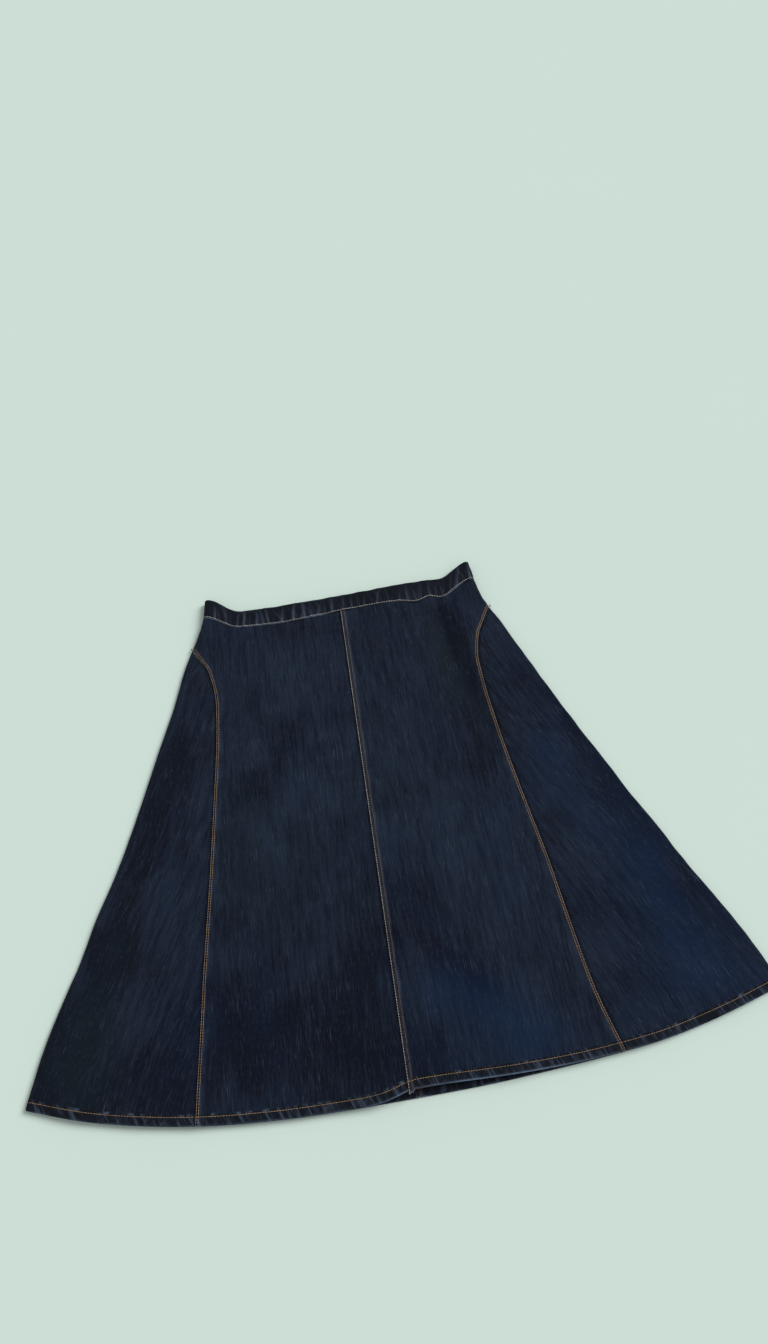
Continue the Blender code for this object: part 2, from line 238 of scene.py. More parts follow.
# Darker spots along the troughs are painted shade and lighter spots along the ridges are painted light; the
# others are the dye's own mottling.
SHADE_AND_DYE_SPOTS = (
    ShadeAndDyeSpot(-0.234, 0.126, -0.329, -0.129, 0.015, -1.30, -0.30),
    ShadeAndDyeSpot(-0.329, -0.129, -0.384, -0.235, 0.020, -1.30, -0.50),
    ShadeAndDyeSpot(-0.390, -0.255, -0.290, -0.285, 0.034, -1.00, -0.20),
    ShadeAndDyeSpot(-0.365, -0.262, -0.340, -0.205, 0.024, 0.10, -0.90),
    ShadeAndDyeSpot(-0.280, -0.060, -0.320, -0.190, 0.030, 0.25, 0.05),
    ShadeAndDyeSpot(-0.230, -0.200, -0.255, -0.280, 0.030, -0.25, 0.30),
    ShadeAndDyeSpot(-0.070, 0.190, -0.100, 0.020, 0.050, 0.42, 0.00),
    ShadeAndDyeSpot(-0.075, 0.135, -0.142, 0.051, 0.015, -1.10, 0.10),
    ShadeAndDyeSpot(-0.150, 0.060, -0.160, -0.060, 0.024, 0.10, -0.55),
    ShadeAndDyeSpot(-0.090, -0.020, -0.110, -0.140, 0.040, 0.18, -0.25),
    ShadeAndDyeSpot(-0.020, -0.165, -0.064, -0.215, 0.020, -1.10, 0.35),
    ShadeAndDyeSpot(-0.190, -0.235, -0.020, -0.290, 0.036, -1.10, 0.10),
    ShadeAndDyeSpot(-0.150, -0.160, -0.165, -0.260, 0.020, -0.45, 0.20),
    ShadeAndDyeSpot(0.110, 0.238, 0.128, 0.140, 0.015, 0.10, -0.95),
    ShadeAndDyeSpot(0.128, 0.256, 0.137, 0.150, 0.011, -1.60, -0.20),
    ShadeAndDyeSpot(0.137, 0.150, 0.143, 0.050, 0.018, -0.95, -0.10),
    ShadeAndDyeSpot(0.070, 0.110, 0.100, -0.080, 0.045, 0.34, 0.00),
    ShadeAndDyeSpot(0.025, 0.120, 0.030, 0.020, 0.022, 0.15, -0.35),
    ShadeAndDyeSpot(0.016, -0.105, 0.088, -0.225, 0.016, -1.20, 0.20),
    ShadeAndDyeSpot(0.060, -0.222, 0.140, -0.285, 0.022, 0.45, 1.10),
    ShadeAndDyeSpot(0.110, -0.100, 0.150, -0.220, 0.030, 0.15, 0.00),
    ShadeAndDyeSpot(0.010, -0.280, 0.060, -0.305, 0.016, -0.20, 0.45),
    ShadeAndDyeSpot(0.205, 0.165, 0.240, 0.080, 0.026, -0.30, 0.20),
    ShadeAndDyeSpot(0.228, 0.050, 0.262, -0.060, 0.022, 0.50, 0.80),
    ShadeAndDyeSpot(0.262, 0.122, 0.342, -0.199, 0.014, -1.30, 0.30),
    ShadeAndDyeSpot(0.306, -0.110, 0.344, -0.234, 0.020, 0.30, 1.10),
    ShadeAndDyeSpot(0.320, 0.020, 0.400, -0.200, 0.018, -1.10, 0.55),
    ShadeAndDyeSpot(0.250, -0.150, 0.290, -0.280, 0.026, -0.10, 0.30),
    ShadeAndDyeSpot(0.330, -0.250, 0.400, -0.270, 0.022, 0.10, 0.75),
)


def smooth_read(table: tuple, key: str, column: str, at: np.ndarray) -> np.ndarray:
    """Read a column of a table on a smooth curve through its rows.

    Args:
        table: rows of one named tuple.
        key: the column that the rows are placed by.
        column: the column to read.
        at: values of the key.

    Returns:
        The column's value at each place, held beyond the table's ends.
    """
    rows = sorted(table, key=lambda row: getattr(row, key))
    keys = np.array([getattr(row, key) for row in rows])
    values = np.array([getattr(row, column) for row in rows])
    slopes = np.gradient(values, keys)
    at = np.clip(at, keys[0], keys[-1])
    i = np.clip(np.searchsorted(keys, at, side="right") - 1, 0, len(keys) - 2)
    step = keys[i + 1] - keys[i]
    t = (at - keys[i]) / step
    start = values[i] * (1 + 2 * t) * (1 - t) ** 2 + slopes[i] * step * t * (1 - t) ** 2
    return start + values[i + 1] * t * t * (3 - 2 * t) + slopes[i + 1] * step * t * t * (t - 1)


def ease(t: np.ndarray) -> np.ndarray:
    """Ease from 0 to 1 as t goes from 0 to 1."""
    t = np.clip(t, 0.0, 1.0)
    return t * t * (3 - 2 * t)


def bell(distance: np.ndarray, width: np.ndarray) -> np.ndarray:
    """A soft hump of height 1 that has died out at about three widths."""
    return np.exp(-0.5 * (distance / width) ** 2)


def line_bell(line: Crease | ShadeAndDyeSpot, x: np.ndarray, y: np.ndarray) -> np.ndarray:
    """A soft hump along a line.

    Args:
        line: a crease or a spot of dye with painted shade and light.
        x: places across the skirt.
        y: places along the skirt.

    Returns:
        1 on the line, falling to 0 beside it and beyond its ends.
    """
    run_x, run_y = line.x1 - line.x0, line.y1 - line.y0
    along = ((x - line.x0) * run_x + (y - line.y0) * run_y) / (run_x ** 2 + run_y ** 2)
    held = np.clip(along, 0.0, 1.0)
    distance = np.hypot(x - line.x0 - held * run_x, y - line.y0 - held * run_y)
    if isinstance(line, ShadeAndDyeSpot):
        return bell(distance, line.width)
    return bell(distance, line.width0 + (line.width1 - line.width0) * held)


@dataclass(frozen=True)
class Ripples:
    """Low uneven waves over the cloth.

    The waves are longer along the grain than across it, and their draws have a fixed seed.
    """

    across: float
    along: float
    height: float
    seed: int
    count: int = 14

    def at(self, x: np.ndarray, y: np.ndarray) -> np.ndarray:
        """Height of the waves at places on the cloth."""
        draw = np.random.default_rng(self.seed)
        total = np.zeros(np.broadcast(x, y).shape)
        for _ in range(self.count):
            turns_x = draw.uniform(-1.4, 1.4) / self.across
            turns_y = draw.uniform(-1.4, 1.4) / self.along
            total += np.sin(2 * pi * (x * turns_x + y * turns_y + draw.uniform()))
        return self.height * total / (self.count / 2) ** 0.5


@dataclass(frozen=True)
class Puckers:
    """Narrow crests across a strip of cloth, unevenly spaced, as stitching or elastic draws them up."""

    spacing: float
    width: float
    slant: float
    seed: int
    reach: float = 0.90

    def at(self, along: np.ndarray, up: np.ndarray, strip: float) -> np.ndarray:
        """Height of the crests, from 0 to 1.

        Args:
            along: distance along the strip.
            up: distance from the strip's stitched edge.
            strip: the strip's width, which the longest crests cross.

        Returns:
            The crests' share of their full height.
        """
        draw = np.random.default_rng(self.seed)
        total = np.zeros(np.broadcast(along, up).shape)
        place = -self.reach
        while place < self.reach:
            place += self.spacing * draw.uniform(0.55, 1.6)
            slant = self.slant + draw.uniform(-0.18, 0.18)
            width = self.width * draw.uniform(0.7, 1.5)
            length = strip * draw.uniform(0.45, 1.5)
            bend = draw.uniform(-0.12, 0.12) / strip
            strength = draw.uniform(0.35, 1.0)
            line = place + slant * up + bend * up ** 2
            total = np.maximum(total, strength * bell(along - line, width) * bell(up, length))
        return total


@dataclass(frozen=True)
class HalfSection:
    """Sizes of one half of the skirt at each row: half width, fold radius and reaches."""

    edge: np.ndarray
    radius: np.ndarray

    @property
    def flat(self) -> np.ndarray:
        """Reach at which the front turns over the fold."""
        return self.edge - self.radius

    @property
    def middle(self) -> np.ndarray:
        """Reach of the fold's outermost line."""
        return self.flat + self.radius * pi / 2

    @property
    def total(self) -> np.ndarray:
        """Reach of the centre back."""
        return 2 * self.middle


@dataclass(frozen=True)
class SkirtForm:
    """The laid skirt's shape: rows from waist (0) to hem (1) and reaches along the cloth.

    A reach is the distance along the cloth from x = 0 on the front, out over one fold and back to
    x = 0 underneath.
    """

    length: float = 0.639
    waist_y: float = 0.309
    corner_rise: float = 0.021
    corner_start: float = 0.74
    rise_start: float = 0.020
    rise_end: float = 0.085
    band_end: float = 0.041
    arch_start: float = 0.081
    arch_end: float = 0.200
    arch_tip: float = 0.0005
    arch_gap: float = 0.0018
    arch_round: float = 0.0050
    seam_gap: float = 0.0004
    side_seam_gap: float = 0.0012
    wave_end: float = 0.120
    lift_x: float = 0.003
    lift_height: float = 0.0060
    lift_spreads: tuple[float, float] = (0.040, 0.100)
    lift_reach: float = 0.110
    pull_back: float = 0.0092
    pull_spreads: tuple[float, float] = (0.020, 0.088)
    pull_start: float = 0.75
    pillow: float = 0.035
    least_height: float = 0.0031
    floor_softness: float = 0.0005
    back_lift: float = 0.0005
    centre_top_x: float = -0.0038
    centre_hem_x: float = -0.0078

    def row_y(self, share: np.ndarray, down: np.ndarray) -> np.ndarray:
        """Place of a row along the skirt, at a share of the half width."""
        rise = self.corner_rise * ease((np.abs(share) - self.corner_start) / (1 - self.corner_start))
        rise = rise * (1 - ease((down - self.rise_start) / (self.rise_end - self.rise_start)))
        hem_y = smooth_read(HEM, "share", "y", share)
        return self.waist_y + (hem_y - self.waist_y) * down + rise

    def half(self, side: Side, down: np.ndarray) -> HalfSection:
        """Sizes of one half's sections at its rows."""
        edge_y = self.row_y(np.full_like(down, float(side.value)), down)
        edge = smooth_read(LEVELS, "y", side.name.lower() + "_edge", edge_y)
        return HalfSection(edge, smooth_read(LEVELS, "y", "fold_height", edge_y) / 2)

    def waist_wave(self, x: np.ndarray, down: np.ndarray) -> np.ndarray:
        """How far the waistband's uneven pull moves a place along the skirt."""
        lower = smooth_read(WAIST_WAVE, "x", "lower", x)
        upper = smooth_read(WAIST_WAVE, "x", "upper", x)
        share = np.clip(down / self.band_end, 0.0, 1.0)
        fade = 1 - ease((down - self.band_end) / (self.wave_end - self.band_end))
        return (upper + (lower - upper) * share) * fade

    def front_height(self, x: np.ndarray, y: np.ndarray, down: np.ndarray, half: HalfSection) -> np.ndarray:
        """Height of the front: low at the fold, full between the folds, with its creases and lift."""
        height = smooth_read(LEVELS, "y", "front_height", y)
        for fold in FOLDS:
            height = height + fold.height * line_bell(fold, x, y)
        spread = np.where(x > self.lift_x, self.lift_spreads[1], self.lift_spreads[0])
        from_hem = self.length * (1 - down)
        height = height + self.lift_height * bell(x - self.lift_x, spread) * bell(from_hem, self.lift_reach)
        over = height - self.least_height
        height = self.least_height + (over + np.sqrt(over ** 2 + self.floor_softness ** 2)) / 2
        fold_height = 2 * half.radius
        full = ease((half.flat - np.abs(x)) / self.pillow)
        return fold_height + (height - fold_height) * full

    def place(self, side: Side, down: np.ndarray, reach: np.ndarray) -> np.ndarray:
        """The outer face of the cloth.

        Args:
            side: the half of the skirt.
            down: rows, as a column.
            reach: reaches along each row.

        Returns:
            Points, with X, Y and Z in the last axis.
        """
        half = self.half(side, down)
        over = (reach - half.flat) / half.radius
        turn = np.clip(over, 0.0, pi)
        on_front = over <= 0
        on_back = over >= pi
        out = np.where(on_front, reach, half.flat + half.radius * np.sin(turn))
        x = side.value * np.where(on_back, half.total - reach, out)
        spread = np.where(x > self.lift_x, self.pull_spreads[1], self.pull_spreads[0])
        pull = self.pull_back * bell(x - self.lift_x, spread)
        pull = pull * ease((down - self.pull_start) / (1 - self.pull_start)) * on_front
        y = self.row_y(x / half.edge, down) + pull
        rounded = half.radius * (1 + np.cos(turn))
        under = self.back_lift * ease((reach - half.middle) / self.pillow)
        z = np.where(on_front, self.front_height(x, y, down, half), rounded + under)
        return np.stack([x, y + self.waist_wave(x, down), z], axis=-1)

    def gore_seam(self, side: Side, layer: Layer, down: np.ndarray) -> np.ndarray:
        """Half width at which the gore's seam crosses each row."""
        half = self.half(side, down)
        column = "back" if layer is Layer.BACK else "front_" + side.name.lower()
        x = half.edge
        for _ in range(6):
            x = smooth_read(GORE_SEAMS, "y", column, self.row_y(side.value * x / half.edge, down))
        tip = half.middle - self.arch_tip
        slant = tip - (down - self.arch_start) * self.length
        rounded = (x + slant + np.sqrt((x - slant) ** 2 + self.arch_round ** 2)) / 2
        return np.minimum(rounded, tip)

    def gore_gap(self, down: np.ndarray) -> np.ndarray:
        """Clearance across the gore's seams, wider round the arch."""
        run = (down - self.arch_start) / (self.arch_end - self.arch_start)
        return self.seam_gap + self.arch_gap * (1 - ease(run))

    def panel_end(self, side: Side, layer: Layer, down: np.ndarray) -> np.ndarray:
        """Where a panel ends, as a reach from x = 0 on its own layer."""
        plain = self.half(side, down).middle - self.side_seam_gap / 2
        sewn = self.gore_seam(side, layer, down) - self.gore_gap(down) / 2
        return np.where(down <= self.arch_start, plain, sewn)

    def centre_seam(self, side: Side, down: np.ndarray) -> np.ndarray:
        """Reach of the centre-front seam, which leans across x = 0."""
        return side.value * (self.centre_top_x + (self.centre_hem_x - self.centre_top_x) * down)


FORM = SkirtForm()


@dataclass(frozen=True)
class SeamEdge:
    """How one long edge of a piece is sewn.

    The lap is the strip over the seam's allowance, the ridge the worn step where that allowance
    ends below the cloth. Rows are the stitch rows' distances from the seam, and start the share of
    the length at which they begin.
    """

    lap: float = 0.0
    rise: float = 0.0
    ridge: float = 0.0
    wear: float = 0.0
    start: float = 0.0
    tail: float = 0.0
    rows: tuple[float, ...] = ()


PLAIN_EDGE = SeamEdge()
GORE_LAP = SeamEdge(lap=0.0044, rise=0.0007, ridge=0.0079, wear=0.060, start=FORM.arch_start,
                    rows=(0.0010, 0.0034))
CENTRE_LAP = SeamEdge(lap=0.0063, rise=0.0009, wear=0.050, tail=0.0030, rows=(0.0010, 0.0052))


@dataclass(frozen=True)
class HemTurn:
    """The turned-up hem: its depth, its stitch row and what it adds to the cloth."""

    depth: float = 0.0125
    stitch: float = 0.0095
    wall: float = 0.0024
    rise: float = 0.0004
    roping: float = 0.0005


HEM_TURN = HemTurn()
KNOT_FROM_HEM = 0.119
TAIL_FROM_HEM = 0.0016
KNOT_HEIGHT = 0.0009
WALL = 0.0011
UNDERSIDE = 0.0025
UNDERSIDE_RISE = 0.0005
SEAM_DIP = 0.00025
ROW_DIP = 0.00022
ROPING = Puckers(spacing=0.0088, width=0.0016, slant=-0.45, seed=11)
GATHERS = Puckers(spacing=0.0125, width=0.0012, slant=0.05, seed=23)
EDGE_STEPS = (0.0, 0.00015, 0.0004, 0.0007, 0.0010, 0.0014, 0.0019, 0.0024, 0.0029, 0.0034, 0.0038,
              0.0042, 0.0047, 0.0052, 0.0057, 0.0063, 0.0070, 0.0079, 0.0090, 0.0104, 0.0120)
HEM_STEPS = (0.0, 0.0002, 0.0005, 0.0010, 0.0016, 0.0024, 0.0034, 0.0046, 0.0060, 0.0073, 0.0084,
             0.0095, 0.0105, 0.0113, 0.0120, 0.0127, 0.0134, 0.0142, 0.0155, 0.0175)


@dataclass
class ClothGrid:
    """A piece of cloth as rows from waist to hem and columns along the reach."""

    side: Side
    down: np.ndarray
    reach: np.ndarray
    from_start: np.ndarray
    from_end: np.ndarray
    points: np.ndarray = field(init=False)
    normals: np.ndarray = field(init=False)
    from_hem: np.ndarray = field(init=False)

    def __post_init__(self) -> None:
        """Lay the grid over the skirt's form."""
        self.points = FORM.place(self.side, self.down, self.reach)
        self.normals = outward(self.points, self.side)
        self.from_hem = (1 - self.down) * FORM.length * np.ones_like(self.reach)

    @property
    def x(self) -> np.ndarray:
        """Places across the skirt."""
        return self.points[..., 0]

    @property
    def y(self) -> np.ndarray:
        """Places along the skirt."""
        return self.points[..., 1]


def outward(points: np.ndarray, side: Side) -> np.ndarray:
    """Unit normals of a grid of cloth, towards its outside."""
    across = np.gradient(points, axis=1)
    along = np.gradient(points, axis=0)
    normals = -side.value * np.cross(across, along)
    return normals / np.maximum(np.linalg.norm(normals, axis=-1, keepdims=True), 1e-12)


def rows_between(stretches: tuple[tuple[float, float, float], ...], start: float) -> np.ndarray:
    """Rows from a start to the hem.

    Args:
        stretches: from, to and spacing in metres below the waist, joined end to end.
        start: share of the length at which the piece begins.

    Returns:
        Shares of the length, as a column, ending in the close rows of the hem.
    """
    top = start * FORM.length
    places = [top + step for step in (0.0, 0.0002, 0.0005)]
    for begin, end, spacing in stretches:
        count = max(int(round((end - begin) / spacing)), 1)
        places += [p for p in np.linspace(begin, end, count + 1)[:-1] if p > top + 0.0010]
    hem_start = FORM.length - HEM_STEPS[-1] - 0.0015
    rows = [p for p in places if p < hem_start] + [FORM.length - step for step in reversed(HEM_STEPS)]
    return np.array(rows)[:, None] / FORM.length


PANEL_ROWS = ((0.0262, 0.052, 0.0015), (0.052, 0.092, 0.0012), (0.092, 0.140, 0.0022), (0.140, 0.639, 0.0032))


def columns_between(start: np.ndarray, end: np.ndarray, down: np.ndarray,
                    count: int) -> tuple[np.ndarray, np.ndarray, np.ndarray]:
    """Reaches across a piece, close at both edges.

    Args:
        start: reach of the first edge at each row.
        end: reach of the last edge at each row.
        down: the rows.
        count: columns between the close ones.

    Returns:
        Reaches and the distances square to the first and last edges.
    """
    steps = np.array(EDGE_STEPS)[None, :]
    width = end - start

    def slant(edge: np.ndarray) -> np.ndarray:
        """How much longer a row's distance from the edge is than the square distance."""
        slope = np.gradient(edge[:, 0], down[:, 0] * FORM.length)[:, None]
        return np.minimum(np.hypot(1.0, np.clip(slope, -1.2, 1.2)), 0.45 * width / EDGE_STEPS[-1])

    slant_start, slant_end = slant(start), slant(end)
    near = start + steps * slant_start
    far = end - steps[:, ::-1] * slant_end
    share = np.linspace(0.0, 1.0, count + 2)[None, 1:-1]
    between = near[:, -1:] + (far[:, :1] - near[:, -1:]) * share
    reach = np.concatenate([near, between, far], axis=1)
    return reach, (reach - start) / slant_start, (end - reach) / slant_end


@dataclass(frozen=True)
class Relief:
    """What is laid on a piece's bare form: heights along its normals and marks for its finish."""

    outer: np.ndarray
    inner: np.ndarray
    wear: np.ndarray
    lap: np.ndarray


def lap_height(distance: np.ndarray, edge: SeamEdge) -> np.ndarray:
    """Height of a seam's lap and ridge at a distance from the seam."""
    if edge.lap == 0:
        return -SEAM_DIP * bell(distance, 0.0016)
    lap = edge.rise * (1 - ease((distance - edge.lap + 0.0006) / 0.0012))
    for row in edge.rows:
        lap = lap - ROW_DIP * bell(distance - row, 0.0005)
    if edge.ridge:
        lap = lap + 0.30 * edge.rise * (1 - ease((distance - edge.ridge + 0.001) / 0.0022))
    return lap


def edge_drop(distance: np.ndarray, depth: np.ndarray) -> np.ndarray:
    """How far a rounded edge falls away at a distance from it; depth is half the wall."""
    share = np.clip(1 - distance / depth, 0.0, 1.0)
    return depth * (1 - np.sqrt(np.maximum(1 - share ** 2, 0.0)))


def cloth_marks(grid: ClothGrid) -> tuple[np.ndarray, np.ndarray]:
    """Tone of the dye, with painted shade along troughs and painted light on ridges, and its hue over a
    piece, from the listed spots on the front.
    """
    shape = grid.reach.shape
    tone = np.zeros(shape)
    hue = np.zeros(shape)
    on_front = grid.points[..., 2] > UNDERSIDE
    for spot in SHADE_AND_DYE_SPOTS:
        share = line_bell(spot, grid.x, grid.y) * on_front
        tone += spot.tone * share
        hue += spot.hue * share
    return tone, hue


def make_mesh(name: str, points: np.ndarray, faces: np.ndarray) -> bpy.types.Mesh:
    """A mesh of quads.

    Args:
        name: the mesh's name.
        points: its vertices.
        faces: four vertex numbers for each face.

    Returns:
        The mesh, shaded smooth.
    """
    mesh = bpy.data.meshes.new(name)
    mesh.vertices.add(len(points))
    mesh.vertices.foreach_set("co", points.astype(np.float32).ravel())
    mesh.loops.add(faces.size)
    mesh.loops.foreach_set("vertex_index", faces.astype(np.int32).ravel())
    mesh.polygons.add(len(faces))
    mesh.polygons.foreach_set("loop_start", np.arange(0, faces.size, 4, dtype=np.int32))
    mesh.update(calc_edges=True)
    mesh.validate()
    mesh.shade_smooth()
    return mesh


def add_values(mesh: bpy.types.Mesh, name: str, values: np.ndarray) -> None:
    """Store one number for each vertex under a name that the finishes read."""
    attribute = mesh.attributes.new(name, "FLOAT", "POINT")
    attribute.data.foreach_set("value", values.astype(np.float32).ravel())


@dataclass
class ClothShell:
    """Outer and inner faces of one piece, joined round its edges into a closed shell."""

    name: str
    outer: np.ndarray
    inner: np.ndarray
    cloth_uv: np.ndarray
    marks: dict[str, np.ndarray]
    inside_out: bool
    ring: bool = False

    def build(self) -> bpy.types.Object:
        """Make the closed mesh, with its cloth UV map and its marks, as an object."""
        rows, columns = self.outer.shape[:2]
        front = np.arange(rows * columns).reshape(rows, columns)
        shared = np.zeros((rows, columns), dtype=bool)
        shared[[0, -1], :] = True
        if not self.ring:
            shared[:, [0, -1]] = True
        rear = front.copy()
        rear[~shared] = rows * columns + np.arange(np.count_nonzero(~shared))
        points = np.concatenate([self.outer.reshape(-1, 3), self.inner[~shared]])
        if self.ring:
            front = np.concatenate([front, front[:, :1]], axis=1)
            rear = np.concatenate([rear, rear[:, :1]], axis=1)
        outside = self.quads(front, self.inside_out)
        inside = self.quads(rear, not self.inside_out)
        mesh = make_mesh(self.name, points, np.concatenate([outside, inside]))
        for mark, values in self.marks.items():
            add_values(mesh, mark, np.concatenate([values.ravel(), values[~shared]]))
        side_mark = np.concatenate([np.zeros(rows * columns), np.ones(np.count_nonzero(~shared))])
        add_values(mesh, "inside", side_mark)
        flat = np.concatenate([self.cloth_uv.reshape(-1, 2), self.cloth_uv[~shared]])
        corners = np.empty(len(mesh.loops), dtype=np.int32)
        mesh.loops.foreach_get("vertex_index", corners)
        layer = mesh.uv_layers.new(name="cloth")
        layer.data.foreach_set("uv", flat[corners].astype(np.float32).ravel())
        piece = bpy.data.objects.new(self.name, mesh)
        bpy.context.scene.collection.objects.link(piece)
        return piece

    @staticmethod
    def quads(index: np.ndarray, turned: bool) -> np.ndarray:
        """Faces of a grid of vertex numbers, turned over where asked."""
        corners = [index[:-1, :-1], index[:-1, 1:], index[1:, 1:], index[1:, :-1]]
        if turned:
            corners.reverse()
        return np.stack(corners, axis=-1).reshape(-1, 4)


@dataclass(frozen=True)
class CutSheet:
    """The flat cut of one piece: width and length of its outline, and its area."""

    width: float
    length: float
    area: float


@dataclass
class Panel:
    """A front or back panel, or a side gore, sewn along its two long edges."""

    name: str
    side: Side
    start_edge: SeamEdge
    end_edge: SeamEdge
    grain: float
    cut: CutSheet
    count: int = 60
    ripples: tuple[Ripples, ...] = ()
    seam_shade: float = 1.2
    seam_shade_width: float = 0.0016
    seam_pull_reach: float = 0.007
    gather_height: float = 0.00045
    gather_strip: float = 0.018
    gather_fade: float = 0.045
    back_crease_depth: float = 0.0012
    grid: ClothGrid = field(init=False)
    marks: dict[str, np.ndarray] = field(init=False)
    outer: np.ndarray = field(init=False)
    inner: np.ndarray = field(init=False)

    def edges(self, down: np.ndarray) -> tuple[np.ndarray, np.ndarray]:
        """Reaches of the two long edges at each row."""
        raise NotImplementedError

    def top(self) -> float:
        """Share of the length at which the piece begins."""
        return FORM.band_end + FORM.seam_gap / FORM.length

    def creases(self) -> tuple[Crease, ...]:
        """The lesser creases on this piece's layer."""
        return FRONT_CREASES

    def lay(self) -> None:
        """Work out the piece's grid, relief and faces."""
        down = rows_between(PANEL_ROWS, self.top())
        start, end = self.edges(down)
        reach, from_start, from_end = columns_between(start, end, down, self.count)
        self.grid = ClothGrid(self.side, down, reach, from_start, from_end)
        relief = self.relief()
        self.marks = {"wear": relief.wear, "lap": relief.lap, "turned_hem": self.turned_hem()}
        self.marks["run"] = self.side.value * reach
        self.marks["tone"], self.marks["hue"] = cloth_marks(self.grid)
        # Painted shadow: the cloth colour is darkened in a narrow band beside each plain seam edge, in the
        # ditch beside the neighbouring lap.
        for distance, edge in ((from_start, self.start_edge), (from_end, self.end_edge)):
            if not edge.lap:
                self.marks["tone"] -= self.seam_shade * bell(distance, self.seam_shade_width)
        top_distance = (down - self.top()) * FORM.length * np.ones_like(reach)
        nearest = np.minimum(np.minimum(from_start, from_end), np.minimum(self.grid.from_hem, top_distance))
        wall = relief.outer - relief.inner
        drop = edge_drop(nearest, wall / 2)
        self.outer = self.grid.points + self.grid.normals * (relief.outer - drop)[..., None]
        self.inner = self.grid.points + self.grid.normals * (relief.inner + drop)[..., None]
        drop_y = self.lap_end()
        self.outer[..., 1] -= drop_y
        self.inner[..., 1] -= drop_y
        self.outer[..., 2] = np.maximum(self.outer[..., 2], 0.0)

    def lap_end(self) -> np.ndarray:
        """How far the end of a centre lap hangs below the hem."""
        if self.start_edge.tail == 0:
            return np.zeros(self.grid.reach.shape)
        on_lap = 1 - ease((self.grid.from_start - self.start_edge.lap + 0.0008) / 0.0016)
        return self.start_edge.tail * on_lap * (1 - ease(self.grid.from_hem / HEM_TURN.depth))

    def turned_hem(self) -> np.ndarray:
        """1 where the cloth is turned up at the hem, 0 above it."""
        return 1 - ease((self.grid.from_hem - HEM_TURN.depth + 0.0003) / 0.0008)

    def relief(self) -> Relief:
        """Heights and marks over the piece: laps, puckers, creases and the hem."""
        grid = self.grid
        under = grid.points[..., 2] < UNDERSIDE
        height = np.zeros(grid.reach.shape)
        for crease in self.creases():
            height += crease.height * line_bell(crease, grid.x, grid.y)
        for ripple in self.ripples:
            height += ripple.at(grid.x, grid.y)
        along = self.side.value * grid.reach
        below_band = (grid.down - FORM.band_end) * FORM.length
        gathers = GATHERS.at(along, -below_band, self.gather_strip)
        height += self.gather_height * (gathers - 0.15) * (1 - ease(below_band / self.gather_fade))
        seam_pull = 0.0
        for distance, seed in ((grid.from_start, 5), (grid.from_end, 9)):
            waves = Ripples(across=0.05, along=0.011, height=0.00016, seed=seed)
            seam_pull += waves.at(grid.x, grid.y) * bell(distance, self.seam_pull_reach)
        height = height + seam_pull
        height = np.where(under, np.clip(height, -self.back_crease_depth, 0.0), height)
        lap = np.zeros(grid.reach.shape)
        wear = np.zeros(grid.reach.shape)
        raised = np.zeros(grid.reach.shape)
        rubbing = Ripples(across=0.5, along=0.035, height=0.40, seed=51)
        rubbed = np.clip(0.55 + rubbing.at(grid.x, grid.y), 0.0, 1.3)
        for distance, edge in ((grid.from_start, self.start_edge), (grid.from_end, self.end_edge)):
            sewn = ease((grid.down - edge.start) * FORM.length / 0.004)
            raised = raised + lap_height(distance, edge) * sewn
            if edge.lap:
                on_lap = (1 - ease((distance - edge.lap) / 0.0008)) * sewn
                lap = np.maximum(lap, on_lap)
                rim = bell(distance - edge.lap - 0.0006, 0.0008)
                if edge.ridge:
                    rim = np.maximum(rim, 0.5 * bell(distance - edge.ridge, 0.0012))
                wear = np.maximum(wear, edge.wear * rubbed * rim * sewn)
        hem = self.turned_hem()
        roping = ROPING.at(along, grid.from_hem, HEM_TURN.depth)
        raised = raised + hem * (HEM_TURN.rise + HEM_TURN.roping * (roping - 0.3))
        raised = raised - SEAM_DIP * bell(grid.from_hem - HEM_TURN.stitch, 0.0006)
        wear = np.maximum(wear, hem * roping ** 2 * 0.10)
        wear = np.maximum(wear, self.hem_edge_wear(along))
        outer = height + np.where(under, np.minimum(raised, UNDERSIDE_RISE), raised)
        inner = height - (WALL + (HEM_TURN.wall - WALL) * hem)
        inner = inner - hem * HEM_TURN.roping * 0.6 * (roping - 0.3)
        return Relief(outer, inner, wear, lap)

    def hem_edge_wear(self, along: np.ndarray) -> np.ndarray:
        """The rubbed bottom edge, and the specks just above the hem's stitch row."""
        grid = self.grid
        uneven = Ripples(across=0.045, along=9.0, height=0.14, seed=31).at(along, 0.0 * along)
        more = 0.80 * bell(along - 0.105, 0.080)
        edge = bell(grid.from_hem, 0.0009) * np.clip(0.14 + uneven + more, 0.0, 1.0)
        fleck = Ripples(across=0.011, along=0.009, height=0.30, seed=37).at(along, grid.from_hem)
        above_row = bell(grid.from_hem - HEM_TURN.stitch - 0.0018, 0.0009)
        specks = above_row * np.clip(fleck + 1.2 * uneven - 0.32, 0.0, 0.35)
        return np.maximum(edge, specks)

    def cloth_uv(self) -> np.ndarray:
        """Flat places on the cloth, with V along the grain."""
        grid = self.grid
        turn = np.array([[np.cos(self.grain), np.sin(self.grain)], [-np.sin(self.grain), np.cos(self.grain)]])
        from_back = FORM.half(self.side, grid.down).total - grid.reach
        across = self.side.value * np.where(self.is_back(), from_back, grid.reach)
        return np.stack([across, grid.y], axis=-1) @ turn.T

    def is_back(self) -> bool:
        """Whether the piece is measured from the centre back."""
        return False

